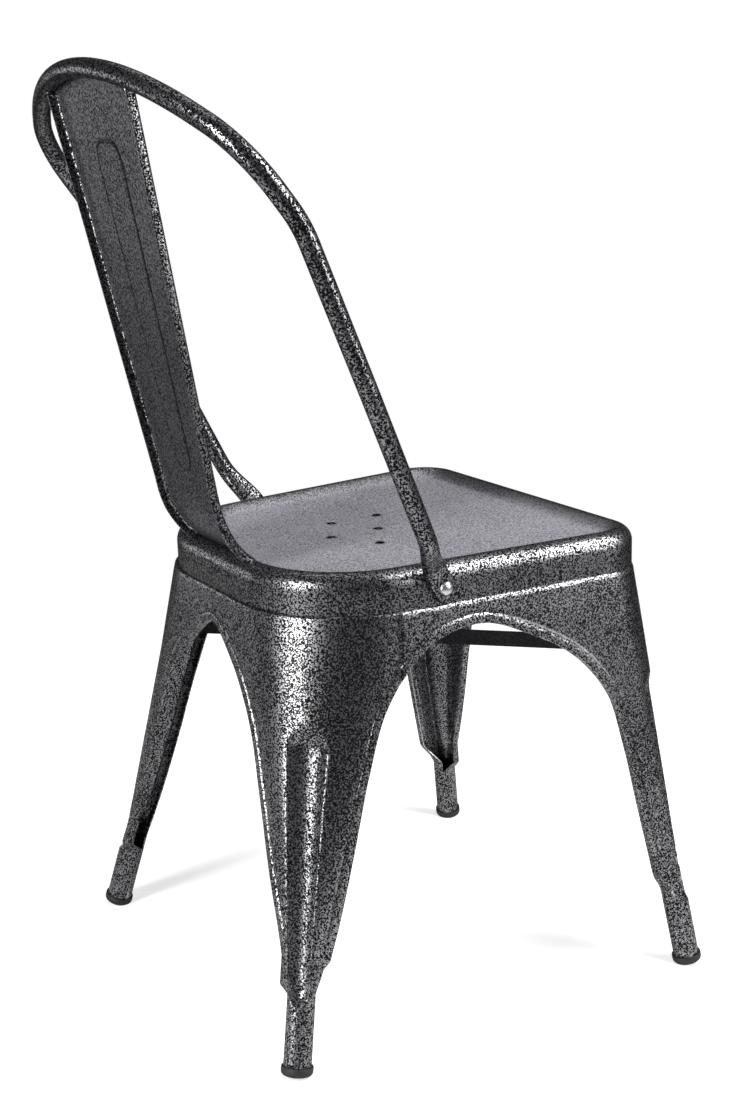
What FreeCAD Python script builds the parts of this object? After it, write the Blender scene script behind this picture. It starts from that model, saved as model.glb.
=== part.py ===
import FreeCAD, Part

import math
import os

import Sketcher

from FreeCAD import Placement, Rotation, Vector

# A pressed steel bistro side chair.
# Four pressed legs wrap the corners of a dished seat, a bent tube makes the back,
# and a flanged splat stands on the seat's rear rim.
# Millimetres. The floor is z = 0, the chair faces -Y, and x = 0 is its plane of symmetry.

# Driving dimensions: alias, value, what it is
SIZES = [
    ("sheet", 1.2, "thickness of the pressed sheet"),
    ("fit_gap", 0.3, "gap between sheets that lie on each other"),
    ("seat_height", 433.1, "crest of the seat rim above the floor, at mid depth"),
    ("seat_slope", 2.75, "tilt of the seat in degrees, front edge up"),
    ("seat_back", 1.0, "seat set back, so that its tilted skirt clears the front panels"),
    ("panel_drop", 35.8, "top edge of the leg panels below the rim crest"),
    ("skirt_level", 400.0, "height at which the upper outline of the legs is given"),
    ("bulge_level", 300.0, "height at which the rear corners start to tighten"),
    ("foot_level", 85.0, "height at which the lower outline of the legs is given"),
    ("side_top", 173.8, "half-width at skirt_level, at y = 0"),
    ("side_foot", 201.3, "half-width at foot_level, at y = 0"),
    ("taper_top", 0.0844, "half-width lost per millimetre towards the rear, at skirt_level"),
    ("taper_foot", 0.0542, "half-width lost per millimetre towards the rear, at foot_level"),
    ("rear_top", 185.6, "rear face behind the origin, at skirt_level"),
    ("rear_foot", 204.9, "rear face behind the origin, at foot_level"),
    ("front_top", 182.5, "front face before the origin, at skirt_level"),
    ("front_foot", 224.0, "front face before the origin, at foot_level"),
    ("rear_corner_top", 113.0, "rear corner radius at skirt_level"),
    ("rear_corner_bulge", 88.0, "rear corner radius at bulge_level"),
    ("rear_corner_foot", 16.5, "rear corner radius at foot_level"),
    ("front_corner_top", 47.0, "front corner radius at skirt_level"),
    ("front_corner_foot", 12.5, "front corner radius at foot_level"),
    ("rear_arch_crown", 357.0, "crown of the rear arch above the floor"),
    ("rear_arch_half", 166.0, "half-width of the rear arch at its feet"),
    ("front_arch_crown", 372.0, "crown of the front arch above the floor"),
    ("front_arch_half", 189.5, "half-width of the front arch at its feet"),
    ("side_arch_crown", 374.0, "crown of the side arches above the floor"),
    ("side_arch_middle", 6.0, "y of the side arches' crown"),
    ("side_arch_rear", 165.0, "rear foot of a side arch behind its crown"),
    ("side_arch_front", 193.0, "front foot of a side arch before its crown"),
    ("arch_foot", 88.0, "height at which the arches reach their full width"),
    ("lip", 8.0, "depth of the edge turned in around the arches"),
    ("side_seam", 90.0, "y of the edge where a front leg panel laps over a rear one"),
    ("seam_lap", 12.0, "width of that lap"),
    ("flute_top", 278.0, "height of the upper end circle of a flute"),
    ("flute_bottom", 92.0, "height of the lower end circle of a flute"),
    ("flute_half_top", 18.8, "half-width of a flute at its upper end"),
    ("flute_half_bottom", 10.3, "half-width of a flute at its lower end"),
    ("flute_sink_top", 7.0, "depth of a flute below its ridges at the upper end"),
    ("flute_sink_bottom", 4.0, "depth of a flute below its ridges at the lower end"),
    ("front_flute_share", 0.85, "lower end of a front flute as a part of a rear one's half-width"),
    ("collar_share_rear", 0.975, "inner corner of a rear collar as a part of the rear arch's half-width"),
    ("collar_share_front", 0.985, "inner corner of a front collar as a part of the front arch's"),
    ("collar_share_side", 0.975, "inner corner of a collar as a part of the side arch's reach"),
    ("collar_corner_round", 4.0, "radius of a collar's inner corners at its top"),
    ("collar_top", 100.0, "height at which a leg's sheet starts to close into a tube"),
    ("collar_bottom", 76.0, "height at which the tube is round"),
    ("notch_half", 15.0, "half-width of the V left open at a collar's top"),
    ("notch_depth", 15.0, "depth of that V below the collar's top"),
    ("tube_radius", 12.5, "outer radius of the rolled foot tubes"),
    ("tube_wall", 1.4, "wall of the rolled foot tubes"),
    ("rear_tube_x", 196.0, "x of a rear foot tube's axis on the floor"),
    ("rear_tube_y", 206.0, "y of a rear foot tube's axis on the floor"),
    ("rear_lean_x", 0.207, "x lost per millimetre of height along a rear foot tube"),
    ("rear_lean_y", 0.187, "y lost per millimetre of height along a rear foot tube"),
    ("front_tube_x", 211.4, "x of a front foot tube's axis on the floor"),
    ("front_tube_y", 228.3, "distance of a front foot tube's axis before the origin, on the floor"),
    ("front_lean_x", 0.131, "x lost per millimetre of height along a front foot tube"),
    ("front_lean_y", 0.195, "depth lost per millimetre of height along a front foot tube"),
    ("cap_rise", 1.4, "middle of a foot cap's end above the floor"),
    ("cap_round", 4.0, "radius of the rounded end of a foot cap"),
    ("cap_wall", 1.6, "wall of the foot caps"),
    ("cap_height", 8.5, "height of the foot caps along the tube"),
    ("cap_floor", 3.5, "thickness of the foot caps under the tube"),
    ("cap_fit", 0.1, "gap between a foot cap and its tube"),
    ("skirt_depth", 52.0, "depth of the seat's skirt below the rim crest"),
    ("rim_round", 13.5, "radius of the seat's outer rim"),
    ("crest_inset", 14.0, "rim crest inside the seat's outer wall"),
    ("dish_slope", 15.0, "width of the slope from the rim crest to the flat"),
    ("dish_depth", 8.6, "flat of the seat below the rim crest"),
    ("drain_radius", 3.9, "radius of the drain holes"),
    ("drain_circle", 52.0, "radius of the circle of drain holes"),
    ("drain_middle", 6.5, "y of the middle drain hole"),
    ("hoop_radius", 8.3, "outer radius of the back hoop's tube"),
    ("hoop_wall", 1.5, "wall of the back hoop's tube"),
    ("hoop_foot_x", 185.5, "half-width of the hoop where its round tube starts"),
    ("hoop_foot_y", 70.1, "y of that start"),
    ("hoop_foot_rise", 13.9, "that start above the rim crest"),
    ("hoop_neck_x", 192.4, "half-width of the hoop where it turns up beside the seat"),
    ("hoop_neck_y", 76.1, "y of that turn"),
    ("hoop_neck_rise", 24.5, "that turn above the rim crest"),
    ("hoop_side_x", 206.3, "half-width of the hoop at the middle of its side"),
    ("hoop_side_y", 143.7, "y of that middle"),
    ("hoop_side_rise", 157.1, "that middle above the rim crest"),
    ("hoop_corner_x", 209.6, "half-width of the hoop's outer corner point"),
    ("hoop_corner_y", 207.8, "y of that corner point"),
    ("hoop_corner_rise", 292.1, "that corner point above the rim crest"),
    ("hoop_upper_x", 205.0, "half-width of the hoop's upper corner point"),
    ("hoop_upper_y", 253.0, "y of that corner point"),
    ("hoop_upper_rise", 348.1, "that corner point above the rim crest"),
    ("hoop_crown_y", 333.7, "y of the point where the hoop's two top lines would meet"),
    ("hoop_crown_rise", 452.8, "that point above the rim crest"),
    ("hoop_neck_radius", 40.0, "radius of the turn beside the seat"),
    ("hoop_side_radius", 200.0, "radius of the bend in a side of the hoop"),
    ("hoop_corner_radius", 130.0, "radius of the outer corner"),
    ("hoop_upper_radius", 82.0, "radius of the upper corner"),
    ("hoop_crown_radius", 293.0, "radius of the top of the hoop"),
    ("tab_half", 11.25, "half-width of the hoop's flattened ends"),
    ("tab_thickness", 6.5, "thickness of the hoop's flattened ends"),
    ("tab_lean", 32.0, "lean of the flattened ends in degrees"),
    ("tab_length", 13.0, "flat length of an end above its rivet"),
    ("tab_into_tube", 2.0, "length of the tab's round end inside the tube"),
    ("tab_skin", 0.05, "how far the tab's round end stays under the tube's surface"),
    ("tab_edge_share", 0.9, "rounding of the tab's long edges as a part of half its thickness"),
    ("tab_tip_share", 0.8, "rounding of the tab's tip as a part of half its thickness"),
    ("rivet_y", 44.5, "y of the hoop's rivets"),
    ("rivet_drop", 20.0, "rivets below the rim crest, measured square to the seat"),
    ("rivet_shank", 4.0, "radius of a rivet's shank"),
    ("rivet_head", 6.3, "radius of a rivet's domed head"),
    ("rivet_dome", 3.4, "height of a rivet's domed head"),
    ("rivet_tail", 5.5, "radius of a rivet's formed end under the seat"),
    ("rivet_tail_height", 2.0, "height of a rivet's formed end"),
    ("rivet_fit", 0.1, "gap between a rivet's shank and its holes"),
    ("splat_before", 0.8, "foot of the splat before the crest of the rear rim"),
    ("splat_thickness", 1.5, "thickness of the splat"),
    ("splat_recline", 13.4, "lean of the splat in degrees"),
    ("splat_foot_turn", 40.3, "angle of the bend at the splat's foot in degrees"),
    ("splat_foot_radius", 91.7, "radius of the bend at the splat's foot"),
    ("splat_foot_half", 51.0, "half-width of the splat on the rim"),
    ("splat_waist_half", 56.4, "half-width of the splat at its waist"),
    ("splat_waist_low", 31.4, "low end of the waist above the splat's foot"),
    ("splat_waist_high", 62.4, "high end of the waist above the splat's foot"),
    ("splat_top_half", 83.4, "half-width of the splat at its top corners"),
    ("splat_top_rise", 400.0, "top corners of the splat above its foot"),
    ("splat_flange", 7.9, "depth of the edges turned back along the splat"),
    ("splat_tuck", 3.0, "top edge of the splat below the hoop's centre line"),
    ("splat_sink", 6.0, "length of the splat's foot below its front face's start, cut by the rim"),
    ("panel_half_top", 37.0, "half-width of the splat's raised panel at its top"),
    ("panel_half_bottom", 29.0, "half-width of the splat's raised panel at its bottom"),
    ("panel_low", 83.0, "low end of the raised panel above the splat's foot"),
    ("panel_high", 355.0, "high end of the raised panel above the splat's foot"),
    ("panel_proud", 0.8, "height of the raised panel"),
    ("brace_drop", 107.7, "top of the cross brace below the rim crest"),
    ("brace_height", 15.0, "height of the brace's upright web"),
    ("brace_width", 12.0, "width of the brace's flat foot"),
    ("brace_sheet", 2.0, "thickness of the brace"),
    ("brace_rear_x", 150.0, "x of the point that a brace bar aims at, at the rear"),
    ("brace_rear_y", 160.0, "y of that point"),
    ("brace_front_x", 172.0, "x of the point that a brace bar aims at, at the front"),
    ("brace_front_y", 168.0, "distance of that point before the origin"),
    ("brace_fit", 0.2, "gap between brace parts and what they meet"),
    ("foot_weld_long", 9.0, "half-length of a weld at the splat's foot"),
    ("foot_weld_round", 3.4, "half-thickness of a weld at the splat's foot"),
    ("foot_weld_fall", 0.5, "fall of a foot weld for each millimetre that it runs back"),
    ("head_weld_long", 5.5, "half-length of a weld at the splat's head"),
    ("head_weld_round", 3.0, "half-thickness of a weld at the splat's head"),
    ("head_weld_level", 1.0, "level of the head welds below the splat's top corners"),
    ("head_weld_out", 0.6, "centre of a head weld beyond the splat's side"),
    ("head_weld_back", 3.5, "centre of a head weld behind the splat's front face"),
    ("head_weld_down", 1.5, "centre of a head weld below its level"),
    ("head_weld_rise", 0.25, "rise of a head weld for each millimetre that it runs back"),
    ("brace_weld_long", 6.0, "half-length of a weld at an end of the brace"),
    ("brace_weld_round", 3.2, "half-thickness of a weld at an end of the brace"),
    ("brace_weld_in", 1.0, "centre of a brace weld before the bar's tip"),
    ("brace_weld_share", 0.55, "centre of a brace weld below the bar's top as a part of its height"),
]

doc = FreeCAD.newDocument("bistro_chair")
sheet = doc.addObject("Spreadsheet::Sheet", "Dimensions")
for row, (alias, value, meaning) in enumerate(SIZES, start=1):
    sheet.set(f"A{row}", alias)
    sheet.set(f"B{row}", str(value))
    sheet.set(f"C{row}", meaning)
    sheet.setAlias(f"B{row}", alias)
doc.recompute()


def size(alias):
    return float(sheet.get(alias))


SHEET = size("sheet")
FIT = size("fit_gap")
SEAT_HEIGHT = size("seat_height")
SLOPE = size("seat_slope")

# Far is larger than the whole chair, for tools that cut right through it
FAR = 2 * (size("seat_height") + size("hoop_crown_rise"))

# Past is how far a tool reaches beyond a face that it cuts away
PAST = 1.0

UP = Vector(0, 0, 1)
ALONG_X = Vector(1, 0, 0)
ALONG_Y = Vector(0, 1, 0)
SEAT_PLACE = Placement(Vector(0, size("seat_back"), SEAT_HEIGHT), Rotation(ALONG_X, -SLOPE))

# Sheets that lie on each other: the front leg panels are outermost,
# the rear leg panels lie under them, and the seat's skirt is innermost.
FRONT_INSET = 0.0
REAR_INSET = SHEET + FIT
SEAT_INSET = 2 * (SHEET + FIT)

nodes = {}


# Small tools for shapes

def mirrored(shape):
    return shape.mirror(Vector(0, 0, 0), ALONG_X)


def placed(shape, placement):
    moved = shape.copy()
    moved.Placement = placement.multiply(moved.Placement)
    return moved


def largest_solid(shape):
    return max(shape.Solids, key=lambda solid: solid.Volume)


def add_node(name, shape):
    node = doc.addObject("Part::Feature", name)
    node.Label = name
    node.Shape = shape
    nodes[name] = node
    return node


def add_pair(name, left_shape):
    # The chair's left side, as one sits in it, is the side of positive x.
    add_node(f"{name}_left", left_shape)
    add_node(f"{name}_right", mirrored(left_shape))


def edge_line(start, end):
    return Part.LineSegment(start, end).toShape()


def edge_arc(centre, radius, from_angle, to_angle, height):
    # An arc in a level plane, through its own middle point.
    points = []
    for angle in (from_angle, (from_angle + to_angle) / 2, to_angle):
        offset = Vector(math.cos(angle), math.sin(angle), 0) * radius
        points.append(Vector(centre.x, centre.y, height) + offset)
    return Part.Arc(*points).toShape()


def box_between(low, high):
    return Part.makeBox(high.x - low.x, high.y - low.y, high.z - low.z, low)


# The outline of the legs: a rounded trapezoid at every height

def between_levels(height, top_value, foot_value):
    share = (size("skirt_level") - height) / (size("skirt_level") - size("foot_level"))
    return top_value + (foot_value - top_value) * share


def rear_corner_radius(height):
    bulge = size("bulge_level")
    if height >= size("skirt_level"):
        return size("rear_corner_top")
    if height >= bulge:
        share = (height - bulge) / (size("skirt_level") - bulge)
        return size("rear_corner_bulge") + share * (size("rear_corner_top") - size("rear_corner_bulge"))
    share = (height - size("foot_level")) / (bulge - size("foot_level"))
    return size("rear_corner_foot") + share * (size("rear_corner_bulge") - size("rear_corner_foot"))


def outline_at(height):
    # Side normal angle, corner centres and radii of the outline at one height.
    half = between_levels(height, size("side_top"), size("side_foot"))
    taper = between_levels(height, size("taper_top"), size("taper_foot"))
    rear = between_levels(height, size("rear_top"), size("rear_foot"))
    front = between_levels(height, size("front_top"), size("front_foot"))
    rear_radius = rear_corner_radius(height)
    front_height = min(height, size("skirt_level"))
    front_radius = between_levels(front_height, size("front_corner_top"), size("front_corner_foot"))
    side_angle = math.atan(taper)
    side_reach = half * math.cos(side_angle)
    rear_y = rear - rear_radius
    front_y = -(front - front_radius)
    rear_x = (side_reach - rear_radius - math.sin(side_angle) * rear_y) / math.cos(side_angle)
    front_x = (side_reach - front_radius - math.sin(side_angle) * front_y) / math.cos(side_angle)
    return {
        "side_angle": side_angle,
        "rear_centre": Vector(rear_x, rear_y, height),
        "rear_radius": rear_radius,
        "front_centre": Vector(front_x, front_y, height),
        "front_radius": front_radius,
    }


def outline_wire(height, inset, at_height=None):
    # The closed outline, moved inwards by inset and drawn at at_height.
    level = height if at_height is None else at_height
    shape = outline_at(height)
    side = shape["side_angle"]
    rear = shape["rear_centre"]
    front = shape["front_centre"]
    rear_radius = shape["rear_radius"] - inset
    front_radius = shape["front_radius"] - inset
    quarter = math.pi / 2
    right_front = edge_arc(front, front_radius, -quarter, side, level)
    right_rear = edge_arc(rear, rear_radius, side, quarter, level)
    left_rear_centre = Vector(-rear.x, rear.y, level)
    left_front_centre = Vector(-front.x, front.y, level)
    left_rear = edge_arc(left_rear_centre, rear_radius, quarter, math.pi - side, level)
    left_front = edge_arc(left_front_centre, front_radius, math.pi - side, math.pi + quarter, level)
    arcs = [right_front, right_rear, left_rear, left_front]
    edges = []
    for index, arc in enumerate(arcs):
        following = arcs[(index + 1) % len(arcs)]
        edges.append(arc)
        edges.append(edge_line(arc.Vertexes[-1].Point, following.Vertexes[0].Point))
    return Part.Wire(edges)


LEG_LEVELS = [size("collar_top"), size("bulge_level"), size("skirt_level"), size("skirt_level") + 40]


def envelope(inset):
    wires = [outline_wire(height, inset) for height in LEG_LEVELS]
    return Part.makeLoft(wires, True, True)


# The arches between the legs
# Each share is (part of the half-width, part of the crown's height above the arch's feet).

REAR_ARCH = [(1.0, 0.0), (0.935, 0.10), (0.807, 0.265), (0.657, 0.50), (0.488, 0.74), (0.259, 0.905)]
FRONT_ARCH = [(1.0, 0.0), (0.958, 0.07), (0.832, 0.31), (0.747, 0.50), (0.60, 0.76), (0.33, 0.93)]
SIDE_ARCH_REAR = [(1.0, 0.0), (0.939, 0.10), (0.815, 0.34), (0.703, 0.58), (0.576, 0.78), (0.285, 0.963)]
SIDE_ARCH_FRONT = [(1.0, 0.0), (0.878, 0.31), (0.798, 0.52), (0.705, 0.70), (0.575, 0.81), (0.249, 0.945)]


def arch_points(crown, left_half, right_half, middle, left_shares, right_shares):
    foot = size("arch_foot")
    rise = crown - foot
    points = [(middle - left_half * across, foot + rise * up) for across, up in left_shares]
    points.append((middle, crown))
    points += [(middle + right_half * across, foot + rise * up) for across, up in reversed(right_shares)]
    return points


def arch_prism(points, to_space, direction, grow):
    # The space under an arch, its outline moved outwards by grow.
    curve = Part.BSplineCurve()
    curve.interpolate([Vector(across, 0, up) for across, up in points])
    moved = []
    for across, up in points:
        tangent = curve.tangent(curve.parameter(Vector(across, 0, up)))[0]
        normal = Vector(-tangent.z, 0, tangent.x)
        moved.append(Vector(across, 0, up) + normal * grow)
    outline = Part.BSplineCurve()
    outline.interpolate([to_space(point.x, point.z) for point in moved])
    left_foot = to_space(moved[0].x, moved[0].z)
    right_foot = to_space(moved[-1].x, moved[-1].z)
    left_low = Vector(left_foot.x, left_foot.y, -FAR)
    right_low = Vector(right_foot.x, right_foot.y, -FAR)
    edges = [
        outline.toShape(),
        edge_line(right_foot, right_low),
        edge_line(right_low, left_low),
        edge_line(left_low, left_foot),
    ]
    return Part.Face(Part.Wire(edges)).extrude(direction)


def rear_arch(grow=0.0):
    half = size("rear_arch_half")
    points = arch_points(size("rear_arch_crown"), half, half, 0.0, REAR_ARCH, REAR_ARCH)
    return arch_prism(points, lambda across, up: Vector(across, 0, up), ALONG_Y * FAR, grow)


def front_arch(grow=0.0):
    half = size("front_arch_half")
    points = arch_points(size("front_arch_crown"), half, half, 0.0, FRONT_ARCH, FRONT_ARCH)
    return arch_prism(points, lambda across, up: Vector(across, 0, up), ALONG_Y * -FAR, grow)


def side_arch(grow=0.0):
    points = arch_points(
        size("side_arch_crown"),
        size("side_arch_front"),
        size("side_arch_rear"),
        size("side_arch_middle"),
        SIDE_ARCH_FRONT,
        SIDE_ARCH_REAR,
    )
    return arch_prism(points, lambda across, up: Vector(0, across, up), ALONG_X * FAR, grow)


# The flutes pressed into the legs' corners

def corner_at(rear, height):
    shape = outline_at(height)
    if rear:
        return shape["rear_centre"], shape["rear_radius"], (shape["side_angle"] + math.pi / 2) / 2
    return shape["front_centre"], shape["front_radius"], (shape["side_angle"] - math.pi / 2) / 2


def flute_circle(rear, height, half, sink, inset):
    # Centre and radius of the circle whose inner arc is the flute at one height.
    centre, corner_radius, angle = corner_at(rear, height)
    ridge_radius = corner_radius - inset
    chord_distance = math.sqrt(max(ridge_radius ** 2 - half ** 2, 0.0))
    radius = (half ** 2 + sink ** 2) / (2 * sink)
    outwards = Vector(math.cos(angle), math.sin(angle), 0)
    return centre + outwards * (chord_distance + radius - sink), radius


def flute(rear, inset, grow):
    # A round-ended taper that presses the flute into the corner.
    half_bottom = size("flute_half_bottom") * (1.0 if rear else size("front_flute_share"))
    high, high_radius = flute_circle(
        rear, size("flute_top"), size("flute_half_top"), size("flute_sink_top"), inset)
    low, low_radius = flute_circle(
        rear, size("flute_bottom"), half_bottom, size("flute_sink_bottom"), inset)
    high_radius += grow
    low_radius += grow
    length = (high - low).Length
    base = Vector(0, 0, -low_radius)
    low_side = Vector(low_radius, 0, 0)
    high_side = Vector(high_radius, 0, length)
    tip = Vector(0, 0, length + high_radius)
    diagonal = math.sqrt(0.5)
    low_middle = Vector(low_radius * diagonal, 0, -low_radius * diagonal)
    high_middle = Vector(high_radius * diagonal, 0, length + high_radius * diagonal)
    outline = Part.Wire([
        Part.Arc(base, low_middle, low_side).toShape(),
        edge_line(low_side, high_side),
        Part.Arc(high_side, high_middle, tip).toShape(),
        edge_line(tip, base),
    ])
    solid = Part.Face(outline).revolve(Vector(0, 0, 0), UP, 360)
    solid = Part.Solid(solid) if solid.ShapeType == "Shell" else solid
    return placed(solid, Placement(low, Rotation(UP, high - low)))


# The rolled foot tubes

def tube_axis(rear, height):
    side = "rear" if rear else "front"
    facing = 1 if rear else -1
    across = size(f"{side}_tube_x") - size(f"{side}_lean_x") * height
    depth = size(f"{side}_tube_y") - size(f"{side}_lean_y") * height
    return Vector(across, facing * depth, height)


def tube_direction(rear):
    return (tube_axis(rear, 1.0) - tube_axis(rear, 0.0)).normalize()


def foot_cylinder(rear, radius, along, high):
    # A cylinder on a foot tube's axis, from a distance along it, counted from the cap's end.
    start = tube_axis(rear, size("cap_rise")) + tube_direction(rear) * along
    end = tube_axis(rear, high)
    return Part.makeCylinder(radius, (end - start).Length, start, end - start)


def collar_corner(rear):
    # The collar's inner corner, between the feet of the two arches, in positive x and y.
    facing = 1 if rear else -1
    arch_half = size("rear_arch_half") if rear else size("front_arch_half")
    arch_end = size("side_arch_rear") if rear else size("side_arch_front")
    inner_x = size("collar_share_rear" if rear else "collar_share_front") * arch_half
    inner_y = facing * size("side_arch_middle") + size("collar_share_side") * arch_end
    return inner_x, inner_y


def collar_loft(rear, inset, shrink):
    # From the closed outline of the leg's channel to the round tube.
    high = size("collar_top")
    outline = outline_at(high)
    side = outline["side_angle"]
    centre = outline["rear_centre"] if rear else outline["front_centre"]
    corner = (outline["rear_radius"] if rear else outline["front_radius"]) - inset - shrink
    inner_x, inner_y = [edge + shrink for edge in collar_corner(rear)]
    outer_y = abs(centre.y) + corner
    # Points are for the rear right corner; the front one is turned over in y at the end.
    side_turn = side if rear else -side
    hub = Vector(centre.x, abs(centre.y), high)
    reach = hub.x + corner / math.cos(side_turn) + math.tan(side_turn) * (hub.y - inner_y)
    small = size("collar_corner_round")
    arcs = [
        (Vector(reach - small, inner_y + small, high), small, -math.pi / 2, side_turn),
        (hub, corner, side_turn, math.pi / 2),
        (Vector(inner_x + small, outer_y - small, high), small, math.pi / 2, math.pi),
        (Vector(inner_x + small, inner_y + small, high), small, math.pi, 3 * math.pi / 2),
    ]
    upper = [edge_arc(middle, radius, first, last, high) for middle, radius, first, last in arcs]
    ring = size("tube_radius") - shrink
    lower = []
    for index in range(4):
        middle = index * math.pi / 2 - math.pi / 4
        spread = math.pi / 6
        lower.append(edge_arc(Vector(0, 0, 0), ring, middle - spread, middle + spread, 0.0))
    upper_edges = []
    lower_edges = []
    for index in range(4):
        following = (index + 1) % 4
        upper_edges.append(upper[index])
        upper_edges.append(edge_line(upper[index].Vertexes[-1].Point, upper[following].Vertexes[0].Point))
        lower_edges.append(lower[index])
        turn = index * math.pi / 2
        lower_edges.append(edge_arc(Vector(0, 0, 0), ring, turn - math.pi / 12, turn + math.pi / 12, 0.0))
    axis_low = tube_axis(rear, size("collar_bottom"))
    axis_low.y = abs(axis_low.y)
    direction = tube_direction(rear)
    direction.y = -abs(direction.y)
    lower_wire = placed(Part.Wire(lower_edges), Placement(axis_low, Rotation(UP, direction)))
    loft = Part.makeLoft([lower_wire, Part.Wire(upper_edges)], True, True)
    return loft if rear else loft.mirror(Vector(0, 0, 0), ALONG_Y)


def collar_notch(rear):
    # The inner corner stays open in a V until the tube closes.
    centre = tube_axis(rear, size("collar_top"))
    inner_x, inner_y = collar_corner(rear)
    corner = Vector(inner_x, inner_y if rear else -inner_y, centre.z)
    inwards = (corner - centre).normalize()
    across = UP.cross(inwards)
    half = size("notch_half")
    top = centre + UP
    point = centre - UP * size("notch_depth")
    wedge = Part.makePolygon([top - across * half, top + across * half, point, top - across * half])
    return Part.Face(wedge).extrude(inwards * 4 * half)


def foot_tube(rear, inset):
    outer = collar_loft(rear, inset, 0.0).cut(flute(rear, inset, 0.0))
    inner = collar_loft(rear, inset, size("tube_wall")).cut(flute(rear, inset, size("tube_wall")))
    collar = outer.cut(inner).cut(collar_notch(rear))
    start = size("cap_floor") + size("cap_fit")
    tube = foot_cylinder(rear, size("tube_radius"), start, size("collar_bottom"))
    bore = foot_cylinder(rear, size("tube_radius") - size("tube_wall"), start - PAST, size("collar_bottom") + PAST)
    return collar, tube.cut(bore)


# The pressed legs

def above_panels():
    # Everything above the plane where the leg panels end.
    block = box_between(Vector(-FAR, -FAR, -size("panel_drop")), Vector(FAR, FAR, FAR))
    return placed(block, SEAT_PLACE)


def pressed_leg(rear):
    inset = REAR_INSET if rear else FRONT_INSET
    outside = envelope(inset)
    seam = size("side_seam")
    half_gap = FIT / 2
    floor_level = size("collar_top")
    if rear:
        quarter = box_between(Vector(half_gap, seam - size("seam_lap"), floor_level), Vector(FAR, FAR, FAR))
    else:
        quarter = box_between(Vector(half_gap, -FAR, floor_level), Vector(FAR, seam, FAR))
    skin = outside.cut(flute(rear, inset, 0.0))
    skin = skin.cut(envelope(inset + SHEET).cut(flute(rear, inset, SHEET)))
    end_arch = rear_arch if rear else front_arch
    skin = skin.common(quarter).cut(end_arch()).cut(side_arch()).cut(above_panels())
    lip_zone = outside.cut(envelope(inset + size("lip"))).common(quarter)
    end_lip = lip_zone.common(end_arch(SHEET)).cut(end_arch())
    side_lip = lip_zone.common(side_arch(SHEET)).cut(side_arch())
    end_lip = end_lip.cut(side_arch(SHEET))
    if rear:
        # The lap under the front panel has no turned edge, and clears the front panel's own.
        lap = box_between(Vector(0, -FAR, 0), Vector(FAR, seam + FIT, FAR))
        side_lip = side_lip.cut(lap)
        skin = skin.cut(side_arch(SHEET + FIT).common(lap))
    collar, tube = foot_tube(rear, inset)
    leg = skin.fuse([end_lip, side_lip, collar, tube])
    return largest_solid(leg.removeSplitter())


# The dished seat

def seat_section(inset, height):
    return outline_wire(size("skirt_level"), SEAT_INSET + inset, height)


def seat_block(shrink):
    # The seat without its dish, smaller by shrink on every side but the bottom.
    depth = size("skirt_depth") + (PAST if shrink else 0.0)
    block = Part.Face(seat_section(shrink, -shrink)).extrude(UP * (shrink - depth))
    top = [edge for edge in block.Edges if all(abs(v.Point.z + shrink) < 1e-6 for v in edge.Vertexes)]
    return block.makeFillet(size("rim_round") - shrink, top)


def seat_dish(grow):
    # The pressed hollow, deeper and wider by grow, with an S-shaped slope.
    steps = 6
    wires = []
    for step in range(steps + 1):
        share = step / steps
        inset = size("crest_inset") + size("dish_slope") * (1 - share) - grow
        drop = size("dish_depth") * (1 + math.cos(math.pi * share)) / 2
        wires.append(seat_section(inset, -drop - grow))
    wires.append(seat_section(size("crest_inset") - grow, PAST))
    return Part.makeLoft(wires, True, True)


def drain_holes():
    spots = [Vector(0, 0, 0)]
    for index in range(6):
        angle = math.radians(90 + 60 * index)
        spots.append(Vector(math.cos(angle), math.sin(angle), 0) * size("drain_circle"))
    middle = Vector(0, size("drain_middle"), -size("skirt_depth"))
    drills = []
    for spot in spots:
        drills.append(Part.makeCylinder(size("drain_radius"), size("skirt_depth"), middle + spot, UP))
    return drills


def tab_frame():
    # Centre of a rivet on the seat's wall, with the wall's normal and the tab's long direction.
    side = outline_at(size("skirt_level"))["side_angle"]
    half = size("side_top") - SEAT_INSET / math.cos(side)
    local = Vector(half - math.tan(side) * size("rivet_y"), size("rivet_y"), -size("rivet_drop"))
    spot = SEAT_PLACE.multVec(local)
    normal = SEAT_PLACE.Rotation.multVec(Vector(math.cos(side), math.sin(side), 0))
    level = UP.cross(normal).normalize()
    upright = normal.cross(level).normalize()
    lean = math.radians(size("tab_lean"))
    long = (level * math.sin(lean) + upright * math.cos(lean)).normalize()
    return spot, normal, long


def rivet_drill():
    spot, normal, _ = tab_frame()
    radius = size("rivet_shank") + size("rivet_fit")
    reach = 3 * size("tab_half")
    return Part.makeCylinder(radius, 2 * reach, spot - normal * reach, normal)


def seat_pan():
    outer = seat_block(0.0).cut(seat_dish(0.0))
    inner = seat_block(SHEET).cut(seat_dish(SHEET))
    pan = outer.cut(inner).cut(drain_holes())
    pan = placed(pan, SEAT_PLACE)
    drill = rivet_drill()
    return largest_solid(pan.cut([drill, mirrored(drill)]))


# The back hoop

def rounded_path(points, radii):
    # Straight runs joined by tangent arcs.
    edges = []
    start = points[0]
    for index, radius in enumerate(radii, start=1):
        corner = points[index]
        back = (points[index - 1] - corner).normalize()
        ahead = (points[index + 1] - corner).normalize()
        half_angle = back.getAngle(ahead) / 2
        reach = radius / math.tan(half_angle)
        bisector = (back + ahead).normalize()
        centre = corner + bisector * (radius / math.sin(half_angle))
        first = corner + back * reach
        last = corner + ahead * reach
        edges.append(edge_line(start, first))
        edges.append(Part.Arc(first, centre - bisector * radius, last).toShape())
        start = last
    edges.append(edge_line(start, points[-1]))
    return Part.Wire(edges)


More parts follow.
